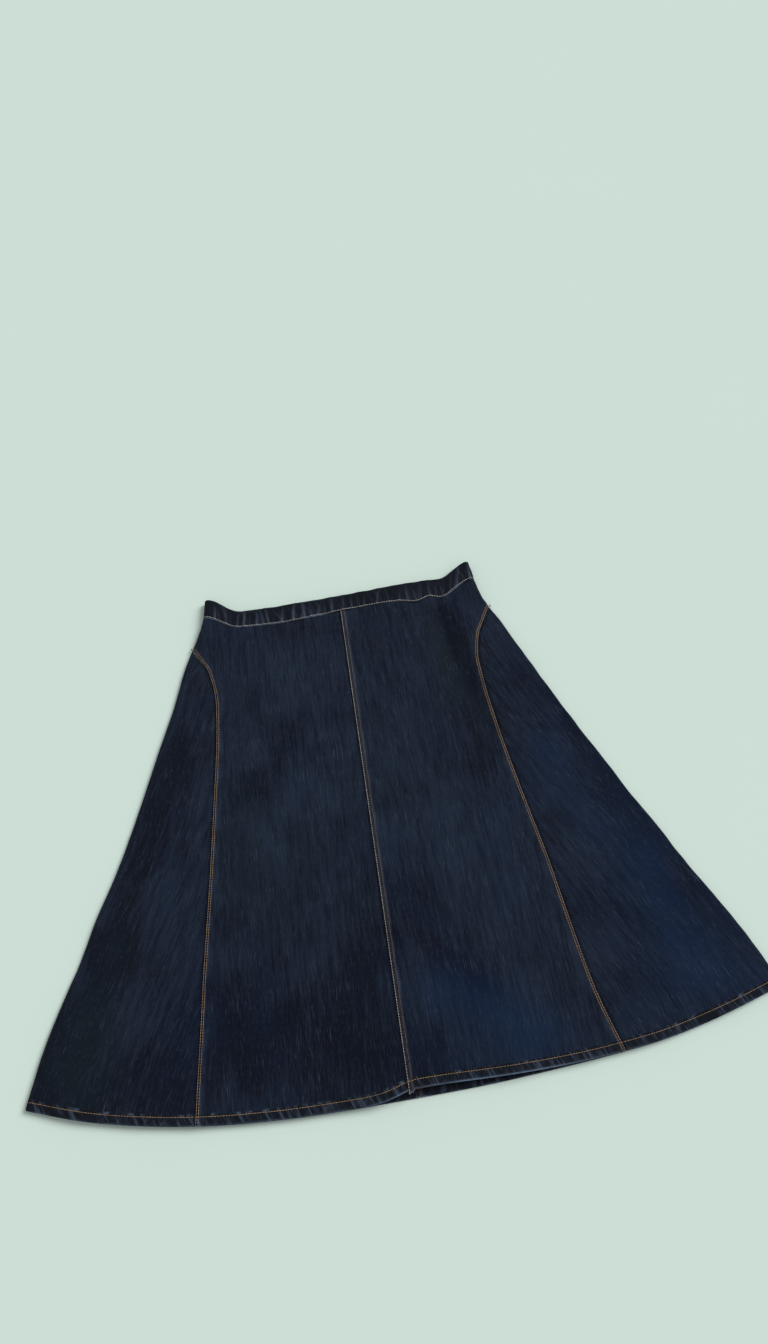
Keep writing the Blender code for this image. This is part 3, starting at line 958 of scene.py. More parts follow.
    def dress(self, finishes: list[bpy.types.Material], rests_on: list[str]) -> bpy.types.Object:
        """Args:
            finishes: the cloth's material.
            rests_on: names of the pieces under it; not used.

        Returns:
            The finished piece, standing for the CAD node of its name.
        """
        self.lay()
        shell = ClothShell(self.name + "_cloth", self.outer, self.inner, self.cloth_uv(), self.marks,
                           inside_out=self.side is Side.LEFT)
        piece = shell.build()
        for finish in finishes:
            piece.data.materials.append(finish)
        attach(piece, BODY)
        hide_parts(self.name)
        LOG.info("%s: %d faces", piece.name, len(piece.data.polygons))
        return piece


@dataclass
class FrontPanel(Panel):
    """A front panel, from the centre-front seam to the gore's seam or the side seam."""

    def edges(self, down: np.ndarray) -> tuple[np.ndarray, np.ndarray]:
        """Reaches of the centre-front seam and the outer seam."""
        centre = FORM.centre_seam(self.side, down) + FORM.seam_gap / 2
        return centre, FORM.panel_end(self.side, Layer.FRONT, down)


@dataclass
class BackPanel(Panel):
    """A back panel, from the outer seam to the centre-back seam."""

    def edges(self, down: np.ndarray) -> tuple[np.ndarray, np.ndarray]:
        """Reaches of the outer seam and the centre-back seam."""
        total = FORM.half(self.side, down).total
        return total - FORM.panel_end(self.side, Layer.BACK, down), total - FORM.seam_gap / 2

    def creases(self) -> tuple[Crease, ...]:
        """The lesser creases on the back."""
        return BACK_CREASES

    def is_back(self) -> bool:
        """Back panels are measured from the centre back."""
        return True


@dataclass
class SideGore(Panel):
    """A side gore, from its front seam over the fold to its back seam."""

    def top(self) -> float:
        """The gore's arched tip."""
        return FORM.arch_start + 0.0006

    def edges(self, down: np.ndarray) -> tuple[np.ndarray, np.ndarray]:
        """Reaches of the front and back gore seams."""
        gap = FORM.gore_gap(down) / 2
        back = FORM.half(self.side, down).total - FORM.gore_seam(self.side, Layer.BACK, down)
        return FORM.gore_seam(self.side, Layer.FRONT, down) + gap, back - gap

    def cloth_uv(self) -> np.ndarray:
        """Flat places unfolded about the fold line, with V along it."""
        grid = self.grid
        beyond = (grid.reach - FORM.half(self.side, grid.down).middle)
        across = beyond * np.cos(self.grain)
        along = grid.y / np.cos(self.grain) + beyond * np.sin(self.grain)
        return np.stack([self.side.value * across, along], axis=-1)


@dataclass
class Waistband:
    """The elasticated band: a flattened ring of folded cloth, drawn up in fine puckers."""

    cut: CutSheet
    columns_left: int = 240
    rows: tuple[float, ...] = (0.0, 0.0002, 0.0006, 0.0011, 0.0016, 0.0021, 0.0030, 0.0042, 0.0056,
                               0.0072, 0.0090, 0.0108, 0.0126, 0.0144, 0.0162, 0.0180, 0.0198, 0.0214,
                               0.0228, 0.0240, 0.0249, 0.0255, 0.0259, 0.02605)
    wall: float = 0.0026
    pucker: float = 0.0011
    proud: float = 0.0004
    stitch: float = 0.0021
    underside: float = 0.0035
    points: np.ndarray = field(init=False)
    normals: np.ndarray = field(init=False)
    up: np.ndarray = field(init=False)

    @staticmethod
    def lay_half(side: Side, down: np.ndarray, share: np.ndarray) -> tuple[np.ndarray, ...]:
        """One half of the ring.

        Args:
            side: the half.
            down: rows.
            share: shares of the way from the centre front to the centre back.

        Returns:
            Points, outward normals and signed distances along the band.
        """
        reach = share[None, :] * FORM.half(side, down).total
        points = FORM.place(side, down, reach)
        return points, outward(points, side), side.value * reach

    def dress(self, finish: bpy.types.Material) -> bpy.types.Object:
        lowest = FORM.band_end * FORM.length - FORM.seam_gap / 2
        up = np.array(self.rows)[::-1, None] / self.rows[-1] * lowest
        down = (lowest - up) / FORM.length
        share = np.linspace(0.0, 1.0, self.columns_left + 1)
        left = self.lay_half(Side.LEFT, down, share)
        right = self.lay_half(Side.RIGHT, down, share)
        halves = zip(left, right)
        points, normals, along = (np.concatenate([one, two[:, -2:0:-1]], axis=1) for one, two in halves)
        crests = GATHERS.at(along, up, 0.018)
        fine = Puckers(spacing=0.0075, width=0.0009, slant=0.1, seed=41).at(along, up, 0.012)
        soft = Ripples(across=0.030, along=0.030, height=0.00035, seed=43).at(along, up)
        under = points[..., 2] < self.underside
        raised = self.proud + self.pucker * (crests - 0.25) + 0.0004 * (fine - 0.2) + soft
        raised = raised - 0.0004 * bell(up - self.stitch, 0.0007)
        raised = np.where(under, np.minimum(raised, 0.0004), raised)
        nearest = np.minimum(up, lowest - up)
        drop = edge_drop(nearest, np.full_like(raised, self.wall / 2))
        outer = points + normals * (raised - drop)[..., None]
        outer[..., 2] = np.maximum(outer[..., 2], 0.0)
        inner = points + normals * (np.minimum(raised, self.proud) - self.wall + drop)[..., None]
        inner = np.where((nearest <= 0)[..., None], outer, inner)
        self.points = outer
        self.normals = normals
        self.up = up
        wear = np.maximum(0.40 * crests ** 2, 0.16 * fine ** 2)
        uneven = Ripples(across=0.050, along=9.0, height=0.22, seed=47).at(along, 0.0 * along)
        low_edge = bell(up - 0.0003, 0.0006) * np.clip(0.22 + uneven, 0.0, 0.7)
        top_edge = bell(lowest - up, 0.0010) * np.clip(0.04 + 0.5 * uneven, 0.0, 0.3)
        wear = np.maximum(np.maximum(wear, low_edge), top_edge)
        zero = np.zeros(wear.shape)
        marks = {"wear": wear, "lap": zero, "turned_hem": zero + 1.0, "run": along + zero,
                 "tone": zero - 0.25, "hue": zero}
        uv = np.stack([up + 0 * along, along], axis=-1)
        piece = ClothShell("waistband_cloth", outer, inner, uv, marks, inside_out=True, ring=True).build()
        piece.data.materials.append(finish)
        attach(piece, BODY)
        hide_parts("waistband")
        LOG.info("%s: %d faces", piece.name, len(piece.data.polygons))
        return piece

    def stitch_line(self) -> tuple[np.ndarray, np.ndarray]:
        """The closed stitch row round the band's lower edge, and its outward directions."""
        row = int(np.argmin(np.abs(self.up[:, 0] - self.stitch)))
        line = np.concatenate([self.points[row], self.points[row, :1]])
        out = np.concatenate([self.normals[row], self.normals[row, :1]])
        return line, out


@dataclass(frozen=True)
class ThreadFinish:
    """Cotton-wrapped thread: colour, its darker twist and its roughness."""

    name: str
    color: tuple[float, float, float]
    shade: tuple[float, float, float]
    roughness: float = 0.62

    def build(self) -> bpy.types.Material:
        """Make the thread's material: a fine twist with fibre noise."""
        material, nodes, shader = new_material(self.name)
        links = material.node_tree.links
        place = nodes.new("ShaderNodeTexCoord")
        noise = nodes.new("ShaderNodeTexNoise")
        noise.inputs["Scale"].default_value = 900.0
        noise.inputs["Detail"].default_value = 2.0
        links.new(place.outputs["Object"], noise.inputs["Vector"])
        blotch = nodes.new("ShaderNodeTexNoise")
        blotch.inputs["Scale"].default_value = 60.0
        links.new(place.outputs["Object"], blotch.inputs["Vector"])
        both = nodes.new("ShaderNodeMath")
        both.operation = "MULTIPLY_ADD"
        both.inputs[1].default_value = 0.6
        links.new(blotch.outputs["Fac"], both.inputs[0])
        links.new(noise.outputs["Fac"], both.inputs[2])
        span = nodes.new("ShaderNodeMapRange")
        span.inputs["From Min"].default_value = 0.55
        span.inputs["From Max"].default_value = 1.05
        links.new(both.outputs[0], span.inputs["Value"])
        mix = color_mix(nodes, links, self.shade, self.color, span.outputs["Result"])
        links.new(mix, shader.inputs["Base Color"])
        bump = nodes.new("ShaderNodeBump")
        bump.inputs["Strength"].default_value = 0.5
        bump.inputs["Distance"].default_value = 0.0001
        links.new(noise.outputs["Fac"], bump.inputs["Height"])
        links.new(bump.outputs["Normal"], shader.inputs["Normal"])
        shader.inputs["Roughness"].default_value = self.roughness
        shader.inputs["Specular IOR Level"].default_value = 0.3
        return material


def new_material(name: str) -> tuple[bpy.types.Material, bpy.types.Nodes, bpy.types.ShaderNode]:
    """A node material with its shader.

    Args:
        name: the material's name.

    Returns:
        The material, its nodes and its Principled shader.
    """
    material = bpy.data.materials.new(name)
    material.use_nodes = True
    nodes = material.node_tree.nodes
    return material, nodes, nodes["Principled BSDF"]


def color_mix(nodes: bpy.types.Nodes, links: bpy.types.NodeLinks, first: tuple | bpy.types.NodeSocket,
              second: tuple | bpy.types.NodeSocket, factor: bpy.types.NodeSocket) -> bpy.types.NodeSocket:
    """Mix two colours or colour sockets.

    Args:
        nodes: the tree's nodes.
        links: the tree's links.
        first: colour at factor 0.
        second: colour at factor 1.
        factor: a value socket.

    Returns:
        The mixed colour's socket.
    """
    mix = nodes.new("ShaderNodeMix")
    mix.data_type = "RGBA"
    links.new(factor, mix.inputs["Factor"])
    for value, socket in ((first, mix.inputs[6]), (second, mix.inputs[7])):
        if isinstance(value, tuple):
            socket.default_value = (*value, 1.0)
        else:
            links.new(value, socket)
    return mix.outputs[2]


def effect_group(name: str, inputs: dict[str, float | None],
                 outputs: tuple[str, ...]) -> tuple[bpy.types.NodeTree, bpy.types.Node, bpy.types.Node]:
    """An empty shader node group with named sockets.

    Args:
        name: the group's name.
        inputs: names with their defaults; None makes a vector.
        outputs: names of its values.

    Returns:
        The group, its input node and its output node.
    """
    group = bpy.data.node_groups.new(name, "ShaderNodeTree")
    for label, value in inputs.items():
        kind = "NodeSocketVector" if value is None else "NodeSocketFloat"
        socket = group.interface.new_socket(label, in_out="INPUT", socket_type=kind)
        if value is not None:
            socket.default_value = value
    for label in outputs:
        group.interface.new_socket(label, in_out="OUTPUT", socket_type="NodeSocketFloat")
    return group, group.nodes.new("NodeGroupInput"), group.nodes.new("NodeGroupOutput")


def math_node(nodes: bpy.types.Nodes, links: bpy.types.NodeLinks, operation: str,
              *values: float | bpy.types.NodeSocket) -> bpy.types.NodeSocket:
    """Add a math node.

    Args:
        nodes: the tree's nodes.
        links: the tree's links.
        operation: the node's operation.
        *values: its inputs, as numbers or sockets.

    Returns:
        The node's value socket.
    """
    node = nodes.new("ShaderNodeMath")
    node.operation = operation
    for i, value in enumerate(values):
        if isinstance(value, (int, float)):
            node.inputs[i].default_value = value
        else:
            links.new(value, node.inputs[i])
    return node.outputs[0]


class DenimEffects:
    """Shader groups that all the cloth's finishes share: twill, slubs and faded wear."""

    def __init__(self) -> None:
        """Build the groups once."""
        self.twill = self.build_twill()
        self.slubs = self.build_slubs()
        self.worn = self.build_worn()

    @staticmethod
    def build_twill() -> bpy.types.NodeTree:
        """Steep diagonal lines of the twill, broken by the threads' own unevenness."""
        group, start, end = effect_group("twill_weave", {"Cloth": None, "Pitch": 0.0011}, ("Height",))
        nodes, links = group.nodes, group.links
        split = nodes.new("ShaderNodeSeparateXYZ")
        links.new(start.outputs["Cloth"], split.inputs[0])
        slanted = math_node(nodes, links, "MULTIPLY_ADD", split.outputs["Y"], 0.55, split.outputs["X"])
        noise = nodes.new("ShaderNodeTexNoise")
        noise.inputs["Scale"].default_value = 700.0
        noise.inputs["Detail"].default_value = 1.0
        links.new(start.outputs["Cloth"], noise.inputs["Vector"])
        turns = math_node(nodes, links, "DIVIDE", slanted, start.outputs["Pitch"])
        jitter = math_node(nodes, links, "MULTIPLY_ADD", noise.outputs["Fac"], 0.7, turns)
        wave = math_node(nodes, links, "SINE", math_node(nodes, links, "MULTIPLY", jitter, 2 * pi))
        height = math_node(nodes, links, "MULTIPLY_ADD", wave, 0.35, noise.outputs["Fac"])
        links.new(height, end.inputs["Height"])
        return group

    @staticmethod
    def build_slubs() -> bpy.types.NodeTree:
        """Long thin streaks along the grain, where thicker yarns show."""
        sockets = {"Cloth": None, "Across": 600.0, "Along": 40.0, "From": 0.56, "To": 0.74}
        group, start, end = effect_group("slub_streaks", sockets, ("Mask",))
        nodes, links = group.nodes, group.links
        split = nodes.new("ShaderNodeSeparateXYZ")
        links.new(start.outputs["Cloth"], split.inputs[0])
        joined = nodes.new("ShaderNodeCombineXYZ")
        for i, (axis, scale) in enumerate((("X", "Across"), ("Y", "Along"))):
            scaled = math_node(nodes, links, "MULTIPLY", split.outputs[axis], start.outputs[scale])
            links.new(scaled, joined.inputs[i])
        noise = nodes.new("ShaderNodeTexNoise")
        noise.inputs["Scale"].default_value = 1.0
        noise.inputs["Detail"].default_value = 2.0
        noise.inputs["Roughness"].default_value = 0.6
        links.new(joined.outputs[0], noise.inputs["Vector"])
        span = nodes.new("ShaderNodeMapRange")
        span.interpolation_type = "SMOOTHSTEP"
        links.new(noise.outputs["Fac"], span.inputs["Value"])
        links.new(start.outputs["From"], span.inputs["From Min"])
        links.new(start.outputs["To"], span.inputs["From Max"])
        links.new(span.outputs["Result"], end.inputs["Mask"])
        return group

    @staticmethod
    def build_worn() -> bpy.types.NodeTree:
        """Rubbed places: a mark on the mesh, broken up by fine noise."""
        sockets = {"Place": None, "Mark": 0.0, "Scale": 500.0}
        group, start, end = effect_group("rubbed_cloth", sockets, ("Mask",))
        nodes, links = group.nodes, group.links
        noise = nodes.new("ShaderNodeTexNoise")
        noise.inputs["Detail"].default_value = 3.0
        links.new(start.outputs["Place"], noise.inputs["Vector"])
        links.new(start.outputs["Scale"], noise.inputs["Scale"])
        grain = math_node(nodes, links, "MULTIPLY_ADD", noise.outputs["Fac"], 1.6, 0.2)
        rubbed = math_node(nodes, links, "MULTIPLY", start.outputs["Mark"], grain)
        links.new(math_node(nodes, links, "MINIMUM", rubbed, 1.0), end.inputs["Mask"])
        return group


@dataclass(frozen=True)
class DenimFinish:
    """Dark indigo denim: dye, slubs, blotches, painted shade and light from the spots' mark, worn places and
    the paler inside.
    """

    name: str
    deep: tuple[float, float, float] = (0.0016, 0.0034, 0.0100)
    mid: tuple[float, float, float] = (0.0120, 0.0203, 0.0400)
    green: tuple[float, float, float] = (0.0050, 0.0125, 0.0185)
    blue: tuple[float, float, float] = (0.0030, 0.0140, 0.0460)
    slub: tuple[float, float, float] = (0.0420, 0.0580, 0.0880)
    faded: tuple[float, float, float] = (0.1700, 0.2350, 0.3500)
    lap: tuple[float, float, float] = (0.0420, 0.0380, 0.0400)
    hem: tuple[float, float, float] = (0.0034, 0.0044, 0.0080)
    inside: tuple[float, float, float] = (0.0800, 0.1050, 0.1500)
    specular: float = 0.12
    slub_strength: float = 0.80
    lap_strength: float = 0.0
    hem_streaks: float = 0.16

    def build(self, effects: DenimEffects) -> bpy.types.Material:
        """Make the denim's material.

        Args:
            effects: the shared shader groups.

        Returns:
            The material.
        """
        material, nodes, shader = new_material(self.name)
        links = material.node_tree.links
        cloth = nodes.new("ShaderNodeUVMap")
        cloth.uv_map = "cloth"
        place = nodes.new("ShaderNodeTexCoord").outputs["Object"]

        def mark(name: str) -> bpy.types.NodeSocket:
            """Read a mark that the mesh carries."""
            node = nodes.new("ShaderNodeAttribute")
            node.attribute_name = name
            return node.outputs["Fac"]

        def effect(group: bpy.types.NodeTree, **values: float | bpy.types.NodeSocket) -> bpy.types.ShaderNode:
            """Place a shared group with its own values."""
            node = nodes.new("ShaderNodeGroup")
            node.node_tree = group
            for label, value in values.items():
                if isinstance(value, (int, float)):
                    node.inputs[label].default_value = value
                else:
                    links.new(value, node.inputs[label])
            return node

        def streaks_of(across: float, along: float, low: float, high: float,
                       cloth_place: bpy.types.NodeSocket = cloth.outputs["UV"]) -> bpy.types.NodeSocket:
            """Streaks of the shared kind at their own scale."""
            node = effect(effects.slubs, Cloth=cloth_place, Across=across, Along=along, From=low, To=high)
            return node.outputs["Mask"]

        def noise(vector: bpy.types.NodeSocket, scale: float, detail: float) -> bpy.types.NodeSocket:
            """Noise over a vector."""
            node = nodes.new("ShaderNodeTexNoise")
            node.inputs["Scale"].default_value = scale
            node.inputs["Detail"].default_value = detail
            links.new(vector, node.inputs["Vector"])
            return node.outputs["Fac"]

        def span(value: bpy.types.NodeSocket, low: float, high: float,
                 top: float = 1.0) -> bpy.types.NodeSocket:
            """Spread a value from low..high to 0..top."""
            node = nodes.new("ShaderNodeMapRange")
            node.inputs["From Min"].default_value = low
            node.inputs["From Max"].default_value = high
            node.inputs["To Max"].default_value = top
            links.new(value, node.inputs["Value"])
            return node.outputs["Result"]

        soft = streaks_of(150.0, 16.0, 0.28, 0.72)
        fine = streaks_of(760.0, 60.0, 0.30, 0.70)
        blotch = noise(place, 17.0, 4.0)
        # The spots' mark read here carries painted shade in troughs and beside plain seams and painted light
        # on ridges, added to the dye's own blotches and streaks.
        tone = math_node(nodes, links, "MULTIPLY_ADD", blotch, 2.3, mark("tone"))
        tone = math_node(nodes, links, "MULTIPLY_ADD", soft, 1.00, tone)
        yarns = streaks_of(340.0, 20.0, 0.26, 0.74)
        tone = math_node(nodes, links, "MULTIPLY_ADD", yarns, 1.00, tone)
        tone = math_node(nodes, links, "MULTIPLY_ADD", fine, 0.80, tone)
        base = color_mix(nodes, links, self.deep, self.mid, span(tone, 1.48, 3.68))
        hue = math_node(nodes, links, "MULTIPLY_ADD", noise(place, 9.0, 2.0), 1.2, -0.6)
        hue = math_node(nodes, links, "ADD", hue, mark("hue"))
        base = color_mix(nodes, links, base, self.blue, span(hue, 0.0, 1.2, 0.62))
        base = color_mix(nodes, links, base, self.green, span(hue, 0.0, -1.2, 0.60))
        long = streaks_of(820.0, 42.0, 0.54, 0.78)
        short = streaks_of(1000.0, 120.0, 0.54, 0.80)
        gate = span(noise(place, 32.0, 3.0), 0.38, 0.66)
        streaks = math_node(nodes, links, "MULTIPLY", long, gate)
        streaks = math_node(nodes, links, "MULTIPLY_ADD", short, 0.5, streaks)
        streaks = math_node(nodes, links, "MULTIPLY", streaks, self.slub_strength)
        streaks = math_node(nodes, links, "MINIMUM", streaks, 1.0)
        base = color_mix(nodes, links, base, self.slub, streaks)
        hem_factor = math_node(nodes, links, "MULTIPLY", mark("turned_hem"), 0.82)
        base = color_mix(nodes, links, base, self.hem, hem_factor)
        split = nodes.new("ShaderNodeSeparateXYZ")
        links.new(place, split.inputs[0])
        turned = nodes.new("ShaderNodeCombineXYZ")
        slanted = math_node(nodes, links, "MULTIPLY_ADD", split.outputs["Y"], -ROPING.slant, mark("run"))
        links.new(slanted, turned.inputs[0])
        links.new(split.outputs["Y"], turned.inputs[1])
        pulled = streaks_of(210.0, 26.0, 0.52, 0.68, cloth_place=turned.outputs[0])
        on_hem = math_node(nodes, links, "MULTIPLY", pulled, mark("turned_hem"))
        on_hem = math_node(nodes, links, "MULTIPLY", on_hem, self.hem_streaks)
        base = color_mix(nodes, links, base, self.faded, on_hem)
        if self.lap_strength:
            speckle = span(noise(place, 900.0, 2.0), 0.42, 0.62)
            on_lap = math_node(nodes, links, "MULTIPLY", mark("lap"), speckle)
            on_lap = math_node(nodes, links, "MULTIPLY", on_lap, self.lap_strength)
            base = color_mix(nodes, links, base, self.lap, on_lap)
        worn = effect(effects.worn, Place=place, Mark=mark("wear"), Scale=420.0).outputs["Mask"]
        base = color_mix(nodes, links, base, self.faded, worn)
        not_hem = math_node(nodes, links, "SUBTRACT", 1.0, mark("turned_hem"))
        reverse = math_node(nodes, links, "MULTIPLY", mark("inside"), not_hem)
        base = color_mix(nodes, links, base, self.inside, reverse)
        links.new(base, shader.inputs["Base Color"])
        twill = effect(effects.twill, Cloth=cloth.outputs["UV"], Pitch=0.0011).outputs["Height"]
        thick = math_node(nodes, links, "MULTIPLY_ADD", streaks, 0.8, twill)
        bump = nodes.new("ShaderNodeBump")
        bump.inputs["Strength"].default_value = 0.55
        bump.inputs["Distance"].default_value = 0.00025
        links.new(thick, bump.inputs["Height"])
        links.new(bump.outputs["Normal"], shader.inputs["Normal"])
        rough = math_node(nodes, links, "MULTIPLY_ADD", streaks, -0.08, 0.90)
        links.new(rough, shader.inputs["Roughness"])
        shader.inputs["Specular IOR Level"].default_value = self.specular
        shader.inputs["Sheen Weight"].default_value = 0.04
        shader.inputs["Sheen Roughness"].default_value = 0.5
        return material


@dataclass(frozen=True)
class Stitch:
    """One stitch of a row: a short bead of thread that dips into the cloth at both ends."""

    pitch: float = 0.0031
    length: float = 0.0028
    width: float = 0.00080
    height: float = 0.00052
    sides: int = 6
    rings: tuple[float, ...] = (-0.5, -0.38, -0.12, 0.12, 0.38, 0.5)

    def build(self, name: str) -> bpy.types.Object:
        """The bead, lying along X with its outside towards +Z."""
        points = []
        for share in self.rings:
            swell = max(1 - (2 * share) ** 4, 0.05) ** 0.5
            sink = -0.00022 * (2 * share) ** 2
            for k in range(self.sides):
                angle = 2 * pi * (k + 0.5) / self.sides
                points.append((share * self.length, swell * self.width / 2 * np.cos(angle),
                               sink + swell * self.height / 2 * np.sin(angle)))
        faces = []
        for ring in range(len(self.rings) - 1):
            for k in range(self.sides):
                a, b = ring * self.sides + k, ring * self.sides + (k + 1) % self.sides
                faces.append((a, b, b + self.sides, a + self.sides))
        last = (len(self.rings) - 1) * self.sides
        faces.append(tuple(range(self.sides))[::-1])
        faces.append(tuple(last + k for k in range(self.sides)))
        mesh = bpy.data.meshes.new(name)
        mesh.from_pydata([tuple(float(v) for v in p) for p in points], [], faces)
        mesh.update()
        mesh.shade_smooth()
        return bpy.data.objects.new(name, mesh)


@dataclass
class StitchRows:
    """Rows of topstitching in one thread, made along lines on the cloth."""

    name: str
    finish: bpy.types.Material
    stitch: Stitch
    lift: float = 0.00012
    lines: list[tuple[np.ndarray, np.ndarray]] = field(default_factory=list)

    def follow(self, points: np.ndarray, out: np.ndarray) -> None:
        """Add a row along points, with the cloth's outward directions."""
        self.lines.append((points, out))

    def guide(self) -> bpy.types.Object:
        """The rows' lines as edges, with the outward direction stored on each point."""
        mesh = bpy.data.meshes.new(self.name + "_lines")
        points, out, edges = [], [], []
        for line, normals in self.lines:
            start = len(points)
            points += [tuple(float(v) for v in p) for p in line + normals * self.lift]
            out += list(normals)
            edges += [(start + k, start + k + 1) for k in range(len(line) - 1)]
        mesh.from_pydata(points, edges, [])
        attribute = mesh.attributes.new("outward", "FLOAT_VECTOR", "POINT")
        attribute.data.foreach_set("vector", np.array(out, dtype=np.float32).ravel())
        guide = bpy.data.objects.new(self.name + "_lines", mesh)
        bpy.context.scene.collection.objects.link(guide)
        return guide

    def tree(self) -> bpy.types.NodeTree:
        """Geometry nodes that set one stitch at every pitch along the lines."""
        tree = bpy.data.node_groups.new("stitch_rows", "GeometryNodeTree")
        tree.interface.new_socket("Lines", in_out="INPUT", socket_type="NodeSocketGeometry")
        tree.interface.new_socket("Pitch", in_out="INPUT", socket_type="NodeSocketFloat")
        tree.interface.new_socket("Stitch", in_out="INPUT", socket_type="NodeSocketObject")
        tree.interface.new_socket("Thread", in_out="INPUT", socket_type="NodeSocketMaterial")
        tree.interface.new_socket("Unevenness", in_out="INPUT", socket_type="NodeSocketFloat")
        tree.interface.new_socket("Seed", in_out="INPUT", socket_type="NodeSocketInt")
        tree.interface.new_socket("Rows", in_out="OUTPUT", socket_type="NodeSocketGeometry")
        nodes, links = tree.nodes, tree.links
        start, end = nodes.new("NodeGroupInput"), nodes.new("NodeGroupOutput")
        curve = nodes.new("GeometryNodeMeshToCurve")
        links.new(start.outputs["Lines"], curve.inputs["Mesh"])
        spaced = nodes.new("GeometryNodeResampleCurve")
        spaced.mode = "LENGTH"
        links.new(curve.outputs["Curve"], spaced.inputs["Curve"])
        links.new(start.outputs["Pitch"], spaced.inputs["Length"])
        stitch = nodes.new("GeometryNodeObjectInfo")
        links.new(start.outputs["Stitch"], stitch.inputs["Object"])
        tangent = nodes.new("GeometryNodeInputTangent")
        along = nodes.new("FunctionNodeAlignRotationToVector")
        along.axis = "X"
        links.new(tangent.outputs[0], along.inputs["Vector"])
        outward_node = nodes.new("GeometryNodeInputNamedAttribute")
        outward_node.data_type = "FLOAT_VECTOR"
        outward_node.inputs["Name"].default_value = "outward"
        upright = nodes.new("FunctionNodeAlignRotationToVector")
        upright.axis = "Z"
        upright.pivot_axis = "X"
        links.new(along.outputs["Rotation"], upright.inputs["Rotation"])
        links.new(outward_node.outputs["Attribute"], upright.inputs["Vector"])
        size = nodes.new("FunctionNodeRandomValue")
        size.data_type = "FLOAT"
        least = nodes.new("ShaderNodeMath")
        least.operation = "SUBTRACT"
        least.inputs[0].default_value = 1.0
        links.new(start.outputs["Unevenness"], least.inputs[1])
        most = nodes.new("ShaderNodeMath")
        most.operation = "ADD"
        most.inputs[0].default_value = 1.0
        links.new(start.outputs["Unevenness"], most.inputs[1])
        links.new(least.outputs[0], size.inputs[2])
        links.new(most.outputs[0], size.inputs[3])
        links.new(start.outputs["Seed"], size.inputs["Seed"])
        beads = nodes.new("GeometryNodeInstanceOnPoints")
        links.new(spaced.outputs["Curve"], beads.inputs["Points"])
        links.new(stitch.outputs["Geometry"], beads.inputs["Instance"])
        links.new(upright.outputs["Rotation"], beads.inputs["Rotation"])
        links.new(size.outputs[1], beads.inputs["Scale"])
        solid = nodes.new("GeometryNodeRealizeInstances")
        links.new(beads.outputs["Instances"], solid.inputs["Geometry"])
        dressed = nodes.new("GeometryNodeSetMaterial")
        links.new(solid.outputs["Geometry"], dressed.inputs["Geometry"])
        links.new(start.outputs["Thread"], dressed.inputs["Material"])
        links.new(dressed.outputs["Geometry"], end.inputs["Rows"])
        return tree

    def sew(self) -> bpy.types.Object:
        """Make the rows a plain mesh that rides on the skirt."""
        guide = self.guide()
        bead = self.stitch.build(self.name + "_stitch")
        modifier = guide.modifiers.new("stitches", "NODES")
        tree = self.tree()
        modifier.node_group = tree
        values = {"Pitch": self.stitch.pitch, "Stitch": bead, "Thread": self.finish,
                  "Unevenness": 0.10, "Seed": 3}
        for item in tree.interface.items_tree:
            if item.in_out == "INPUT" and item.name in values:
                modifier[item.identifier] = values[item.name]
        evaluated = guide.evaluated_get(bpy.context.evaluated_depsgraph_get())
        mesh = bpy.data.meshes.new_from_object(evaluated)
        mesh.name = self.name
        places = np.empty(3 * len(mesh.vertices), dtype=np.float32)
        mesh.vertices.foreach_get("co", places)
        places[2::3] = np.maximum(places[2::3], 0.0)
        mesh.vertices.foreach_set("co", places)
        for attribute in [a.name for a in mesh.attributes if a.name == "outward"]:
            mesh.attributes.remove(mesh.attributes[attribute])
        piece = bpy.data.objects.new(self.name, mesh)
        bpy.context.scene.collection.objects.link(piece)
        bpy.data.objects.remove(guide, do_unlink=True)
        bpy.data.objects.remove(bead, do_unlink=True)
        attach(piece, BODY)
        LOG.info("%s: %d faces", piece.name, len(piece.data.polygons))
        return piece


def seam_line(panel: Panel, edge: str, distance: float) -> tuple[np.ndarray, np.ndarray]:
    """A stitch row beside a seam.

    Args:
        panel: the piece that the row is sewn on.
        edge: "start" or "end" of its columns.
        distance: how far the row is from that edge.

    Returns:
        Points down the row and their outward directions.
    """
    step = int(np.argmin(np.abs(np.array(EDGE_STEPS) - distance)))
    column = step if edge == "start" else -1 - step
    return panel.outer[2:-2, column], panel.grid.normals[2:-2, column]


def knot(panel: Panel, edge: str, distance: float, from_hem: float) -> tuple[np.ndarray, np.ndarray]:
    """A thread's knotted end: a few stitches heaped across a row.

    Args:
        panel: the piece that the knot lies on.
        edge: "start" or "end" of its columns.
        distance: how far the knot is from that edge.
        from_hem: how far the knot is above the hem.

    Returns:
        Points across the row and their outward directions.
    """
    step = int(np.argmin(np.abs(np.array(EDGE_STEPS) - distance)))
    columns = slice(step, step + 4) if edge == "start" else slice(-4 - step, -step)
    row = int(np.argmin(np.abs(panel.grid.from_hem[:, 0] - from_hem)))
    out = panel.grid.normals[row, columns]
    return panel.outer[row, columns] + KNOT_HEIGHT * out, out


def hem_line(panel: Panel, inner: bool = False) -> tuple[np.ndarray, np.ndarray]:
    """The hem's stitch row across a piece, on its outer or inner face."""
    row = int(np.argmin(np.abs(panel.grid.from_hem[:, 0] - HEM_TURN.stitch)))
    face = panel.inner if inner else panel.outer
    way = -1.0 if inner else 1.0
    return face[row, 1:-1], way * panel.grid.normals[row, 1:-1]


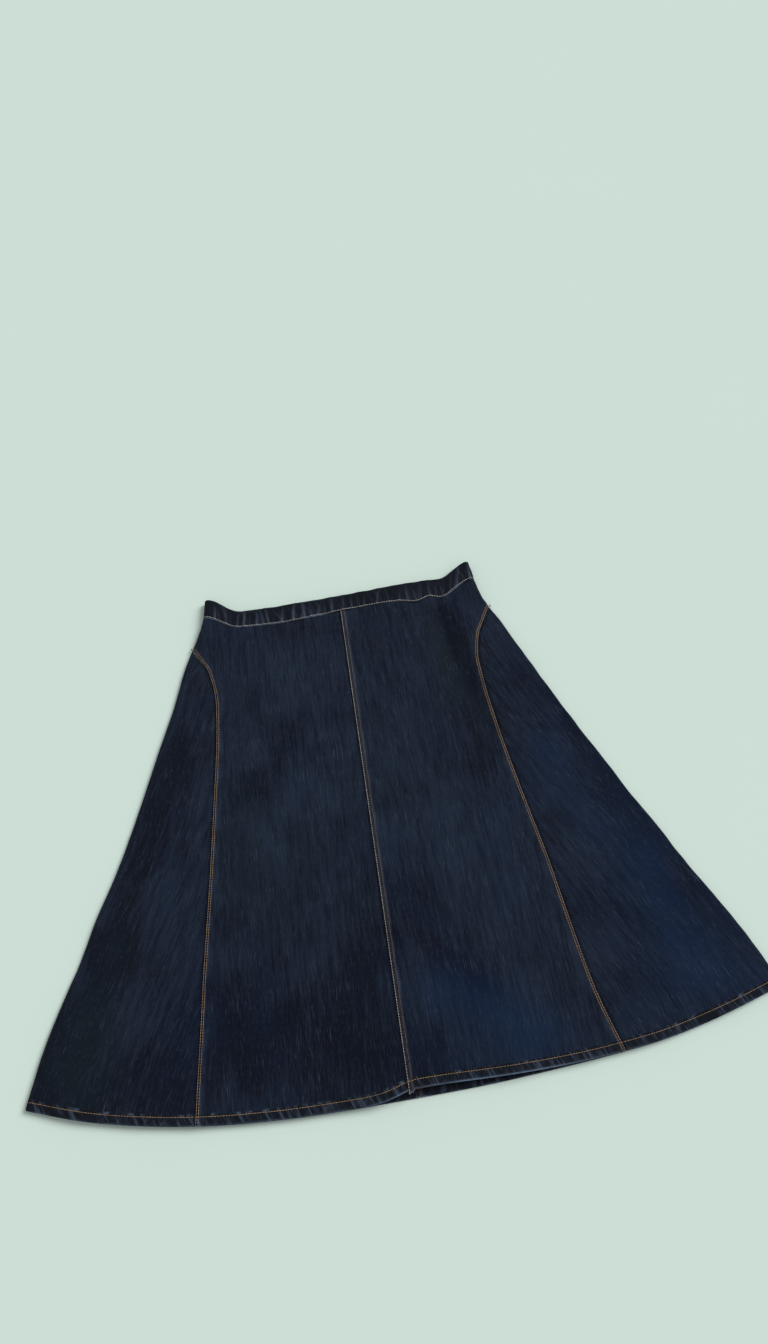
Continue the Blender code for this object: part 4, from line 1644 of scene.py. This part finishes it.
class DenimSkirt:
    """The whole skirt: six panels, the waistband and the stitching."""

    def __init__(self) -> None:
        """Set each piece's sizes, seams and grain."""
        folds = Ripples(across=0.070, along=0.160, height=0.00045, seed=2)
        small = Ripples(across=0.022, along=0.040, height=0.00010, seed=4)
        waves = (folds, small)
        self.front_right = FrontPanel("front_right", Side.RIGHT, PLAIN_EDGE, GORE_LAP, np.radians(-1.4),
                                      CutSheet(0.262, 0.632, 0.125), ripples=waves)
        self.front_left = FrontPanel("front_left", Side.LEFT, CENTRE_LAP, GORE_LAP, np.radians(2.2),
                                     CutSheet(0.262, 0.632, 0.1225), ripples=waves)
        self.gore_right = SideGore("gore_right", Side.RIGHT, PLAIN_EDGE, PLAIN_EDGE, np.radians(-22.4),
                                   CutSheet(0.395, 0.605, 0.1355), count=96, ripples=waves)
        self.gore_left = SideGore("gore_left", Side.LEFT, PLAIN_EDGE, PLAIN_EDGE, np.radians(24.8),
                                  CutSheet(0.395, 0.605, 0.1385), count=96, ripples=waves)
        self.back_right = BackPanel("back_right", Side.RIGHT, GORE_LAP, PLAIN_EDGE, 0.0,
                                    CutSheet(0.262, 0.632, 0.1235), count=48)
        self.back_left = BackPanel("back_left", Side.LEFT, GORE_LAP, CENTRE_LAP, 0.0,
                                   CutSheet(0.262, 0.632, 0.122), count=48)
        self.band = Waistband(CutSheet(0.800, 0.027, 0.0216))

    def build(self) -> None:
        """Build the pieces from the floor up, then sew the rows."""
        effects = DenimEffects()
        plain = DenimFinish("dark_denim").build(effects)
        lapped = DenimFinish("dark_denim_worn_lap", lap_strength=0.75).build(effects)
        band = DenimFinish("band_denim", slub_strength=0.35, hem_streaks=0.05).build(effects)
        self.back_right.dress([plain], [])
        self.back_left.dress([lapped], [])
        self.gore_right.dress([plain], [])
        self.gore_left.dress([plain], [])
        self.front_right.dress([plain], ["back_right_cloth"])
        self.front_left.dress([lapped], ["back_left_cloth"])
        self.band.dress(band)
        self.sew()

    def sew(self) -> None:
        """All the topstitching, one mesh for each thread."""
        tan = ThreadFinish("tan_thread", (0.44, 0.28, 0.14), (0.18, 0.11, 0.06)).build()
        # Painted sheen in part: this thread is paler than the tan to stand for the light that the
        # centre-front row catches; the band's row is sewn in it too.
        cream_sheen = ThreadFinish("cream_thread", (0.46, 0.43, 0.38), (0.22, 0.19, 0.17)).build()
        brown = ThreadFinish("faded_thread", (0.15, 0.11, 0.09), (0.05, 0.04, 0.04)).build()
        gore_rows = StitchRows("gore_topstitch", tan, Stitch(width=0.00066))
        for panel, edge in ((self.front_right, "end"), (self.front_left, "end"),
                            (self.back_right, "start"), (self.back_left, "start")):
            for distance in GORE_LAP.rows:
                gore_rows.follow(*self.below_arch(panel, seam_line(panel, edge, distance)))
        gore_rows.follow(*knot(self.front_right, "end", GORE_LAP.rows[0], KNOT_FROM_HEM))
        gore_rows.follow(*knot(self.front_left, "start", CENTRE_LAP.rows[0], TAIL_FROM_HEM))
        gore_rows.sew()
        bright = StitchRows("centre_topstitch", cream_sheen, Stitch(width=0.0008))
        faint = StitchRows("centre_topstitch_faded", brown, Stitch(pitch=0.0024, length=0.0021))
        for panel, edge in ((self.front_left, "start"), (self.back_left, "end")):
            bright.follow(*seam_line(panel, edge, CENTRE_LAP.rows[0]))
            faint.follow(*seam_line(panel, edge, CENTRE_LAP.rows[1]))
        bright.sew()
        faint.sew()
        hem_rows = StitchRows("hem_topstitch", tan, Stitch(width=0.00068))
        for panel in (self.front_right, self.front_left, self.gore_right, self.gore_left):
            hem_rows.follow(*hem_line(panel))
        for panel in (self.back_right, self.back_left):
            hem_rows.follow(*hem_line(panel))
            hem_rows.follow(*hem_line(panel, inner=True))
        hem_rows.sew()
        band_rows = StitchRows("band_topstitch", cream_sheen, Stitch(pitch=0.0034, length=0.0031, width=0.0010))
        band_rows.follow(*self.band.stitch_line())
        band_rows.sew()

    @staticmethod
    def below_arch(panel: Panel, line: tuple[np.ndarray, np.ndarray]) -> tuple[np.ndarray, np.ndarray]:
        """The part of a seam's row that is below the arch's tip, where the topstitching begins."""
        below = panel.grid.down[2:-2, 0] > FORM.arch_start + 0.0016
        return line[0][below], line[1][below]


@dataclass(frozen=True)
class Studio:
    """Pale floor, soft lights and the camera."""

    floor_color: tuple[float, float, float] = (0.66, 0.785, 0.715)
    floor_half: float = 6.0
    camera_at: tuple[float, float, float] = (-0.0024, -0.3713, 1.2041)
    camera_right: tuple[float, float, float] = (0.98835, -0.14855, -0.03305)
    camera_up: tuple[float, float, float] = (0.14856, 0.89466, 0.42132)
    camera_back: tuple[float, float, float] = (-0.03302, -0.42133, 0.90631)
    lens: float = 27.0
    key_from: tuple[float, float, float] = (1.35, 0.55, 1.15)
    key_angle: float = 0.55
    key_strength: float = 2.5
    world_strength: float = 0.45

    def build(self) -> None:
        """Set up the floor, the lights, the world and the camera."""
        self.floor()
        self.key()
        self.world()
        self.camera()

    def floor(self) -> None:
        """A wide plain floor with faint grain."""
        half = self.floor_half
        mesh = bpy.data.meshes.new("floor")
        corners = [(-half, -half, 0), (half, -half, 0), (half, half, 0), (-half, half, 0)]
        mesh.from_pydata(corners, [], [(0, 1, 2, 3)])
        material, nodes, shader = new_material("pale_floor")
        links = material.node_tree.links
        place = nodes.new("ShaderNodeTexCoord")
        noise = nodes.new("ShaderNodeTexNoise")
        noise.inputs["Scale"].default_value = 3.0
        links.new(place.outputs["Object"], noise.inputs["Vector"])
        darker = tuple(0.985 * value for value in self.floor_color)
        color = color_mix(nodes, links, darker, self.floor_color, noise.outputs["Fac"])
        links.new(color, shader.inputs["Base Color"])
        shader.inputs["Roughness"].default_value = 0.95
        shader.inputs["Specular IOR Level"].default_value = 0.05
        mesh.materials.append(material)
        floor = bpy.data.objects.new("floor", mesh)
        bpy.context.scene.collection.objects.link(floor)

    def key(self) -> None:
        """A broad soft light over the wearer's left side of the waist, even over the whole floor."""
        data = bpy.data.lights.new("key", "SUN")
        data.angle = self.key_angle
        data.energy = self.key_strength
        lamp = bpy.data.objects.new("key", data)
        back = np.array(self.key_from) / np.linalg.norm(self.key_from)
        right = np.cross((0.0, 0.0, 1.0), back)
        right = right / np.linalg.norm(right)
        up = np.cross(back, right)
        matrix = Matrix.Identity(4)
        for row in range(3):
            matrix[row] = (right[row], up[row], back[row], self.key_from[row])
        lamp.matrix_world = matrix
        bpy.context.scene.collection.objects.link(lamp)

    def world(self) -> None:
        """Even pale light from all round."""
        world = bpy.data.worlds.new("studio")
        world.use_nodes = True
        background = world.node_tree.nodes["Background"]
        background.inputs["Color"].default_value = (0.97, 0.99, 1.0, 1.0)
        background.inputs["Strength"].default_value = self.world_strength
        bpy.context.scene.world = world
        bpy.context.scene.view_settings.view_transform = "Standard"

    def camera(self) -> None:
        """The camera, looking down over the hem."""
        data = bpy.data.cameras.new("camera")
        data.lens = self.lens
        data.sensor_width = 36.0
        data.sensor_fit = "AUTO"
        data.clip_start = 0.01
        camera = bpy.data.objects.new("camera", data)
        matrix = Matrix.Identity(4)
        columns = (self.camera_right, self.camera_up, self.camera_back, self.camera_at)
        for row in range(3):
            matrix[row] = tuple(column[row] for column in columns)
        camera.matrix_world = matrix
        bpy.context.scene.collection.objects.link(camera)
        bpy.context.scene.camera = camera


def main() -> None:
    """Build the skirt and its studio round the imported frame."""
    logging.basicConfig(level=logging.INFO, format="%(name)s: %(message)s")
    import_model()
    DenimSkirt().build()
    Studio().build()


if __name__ == "__main__":
    main()
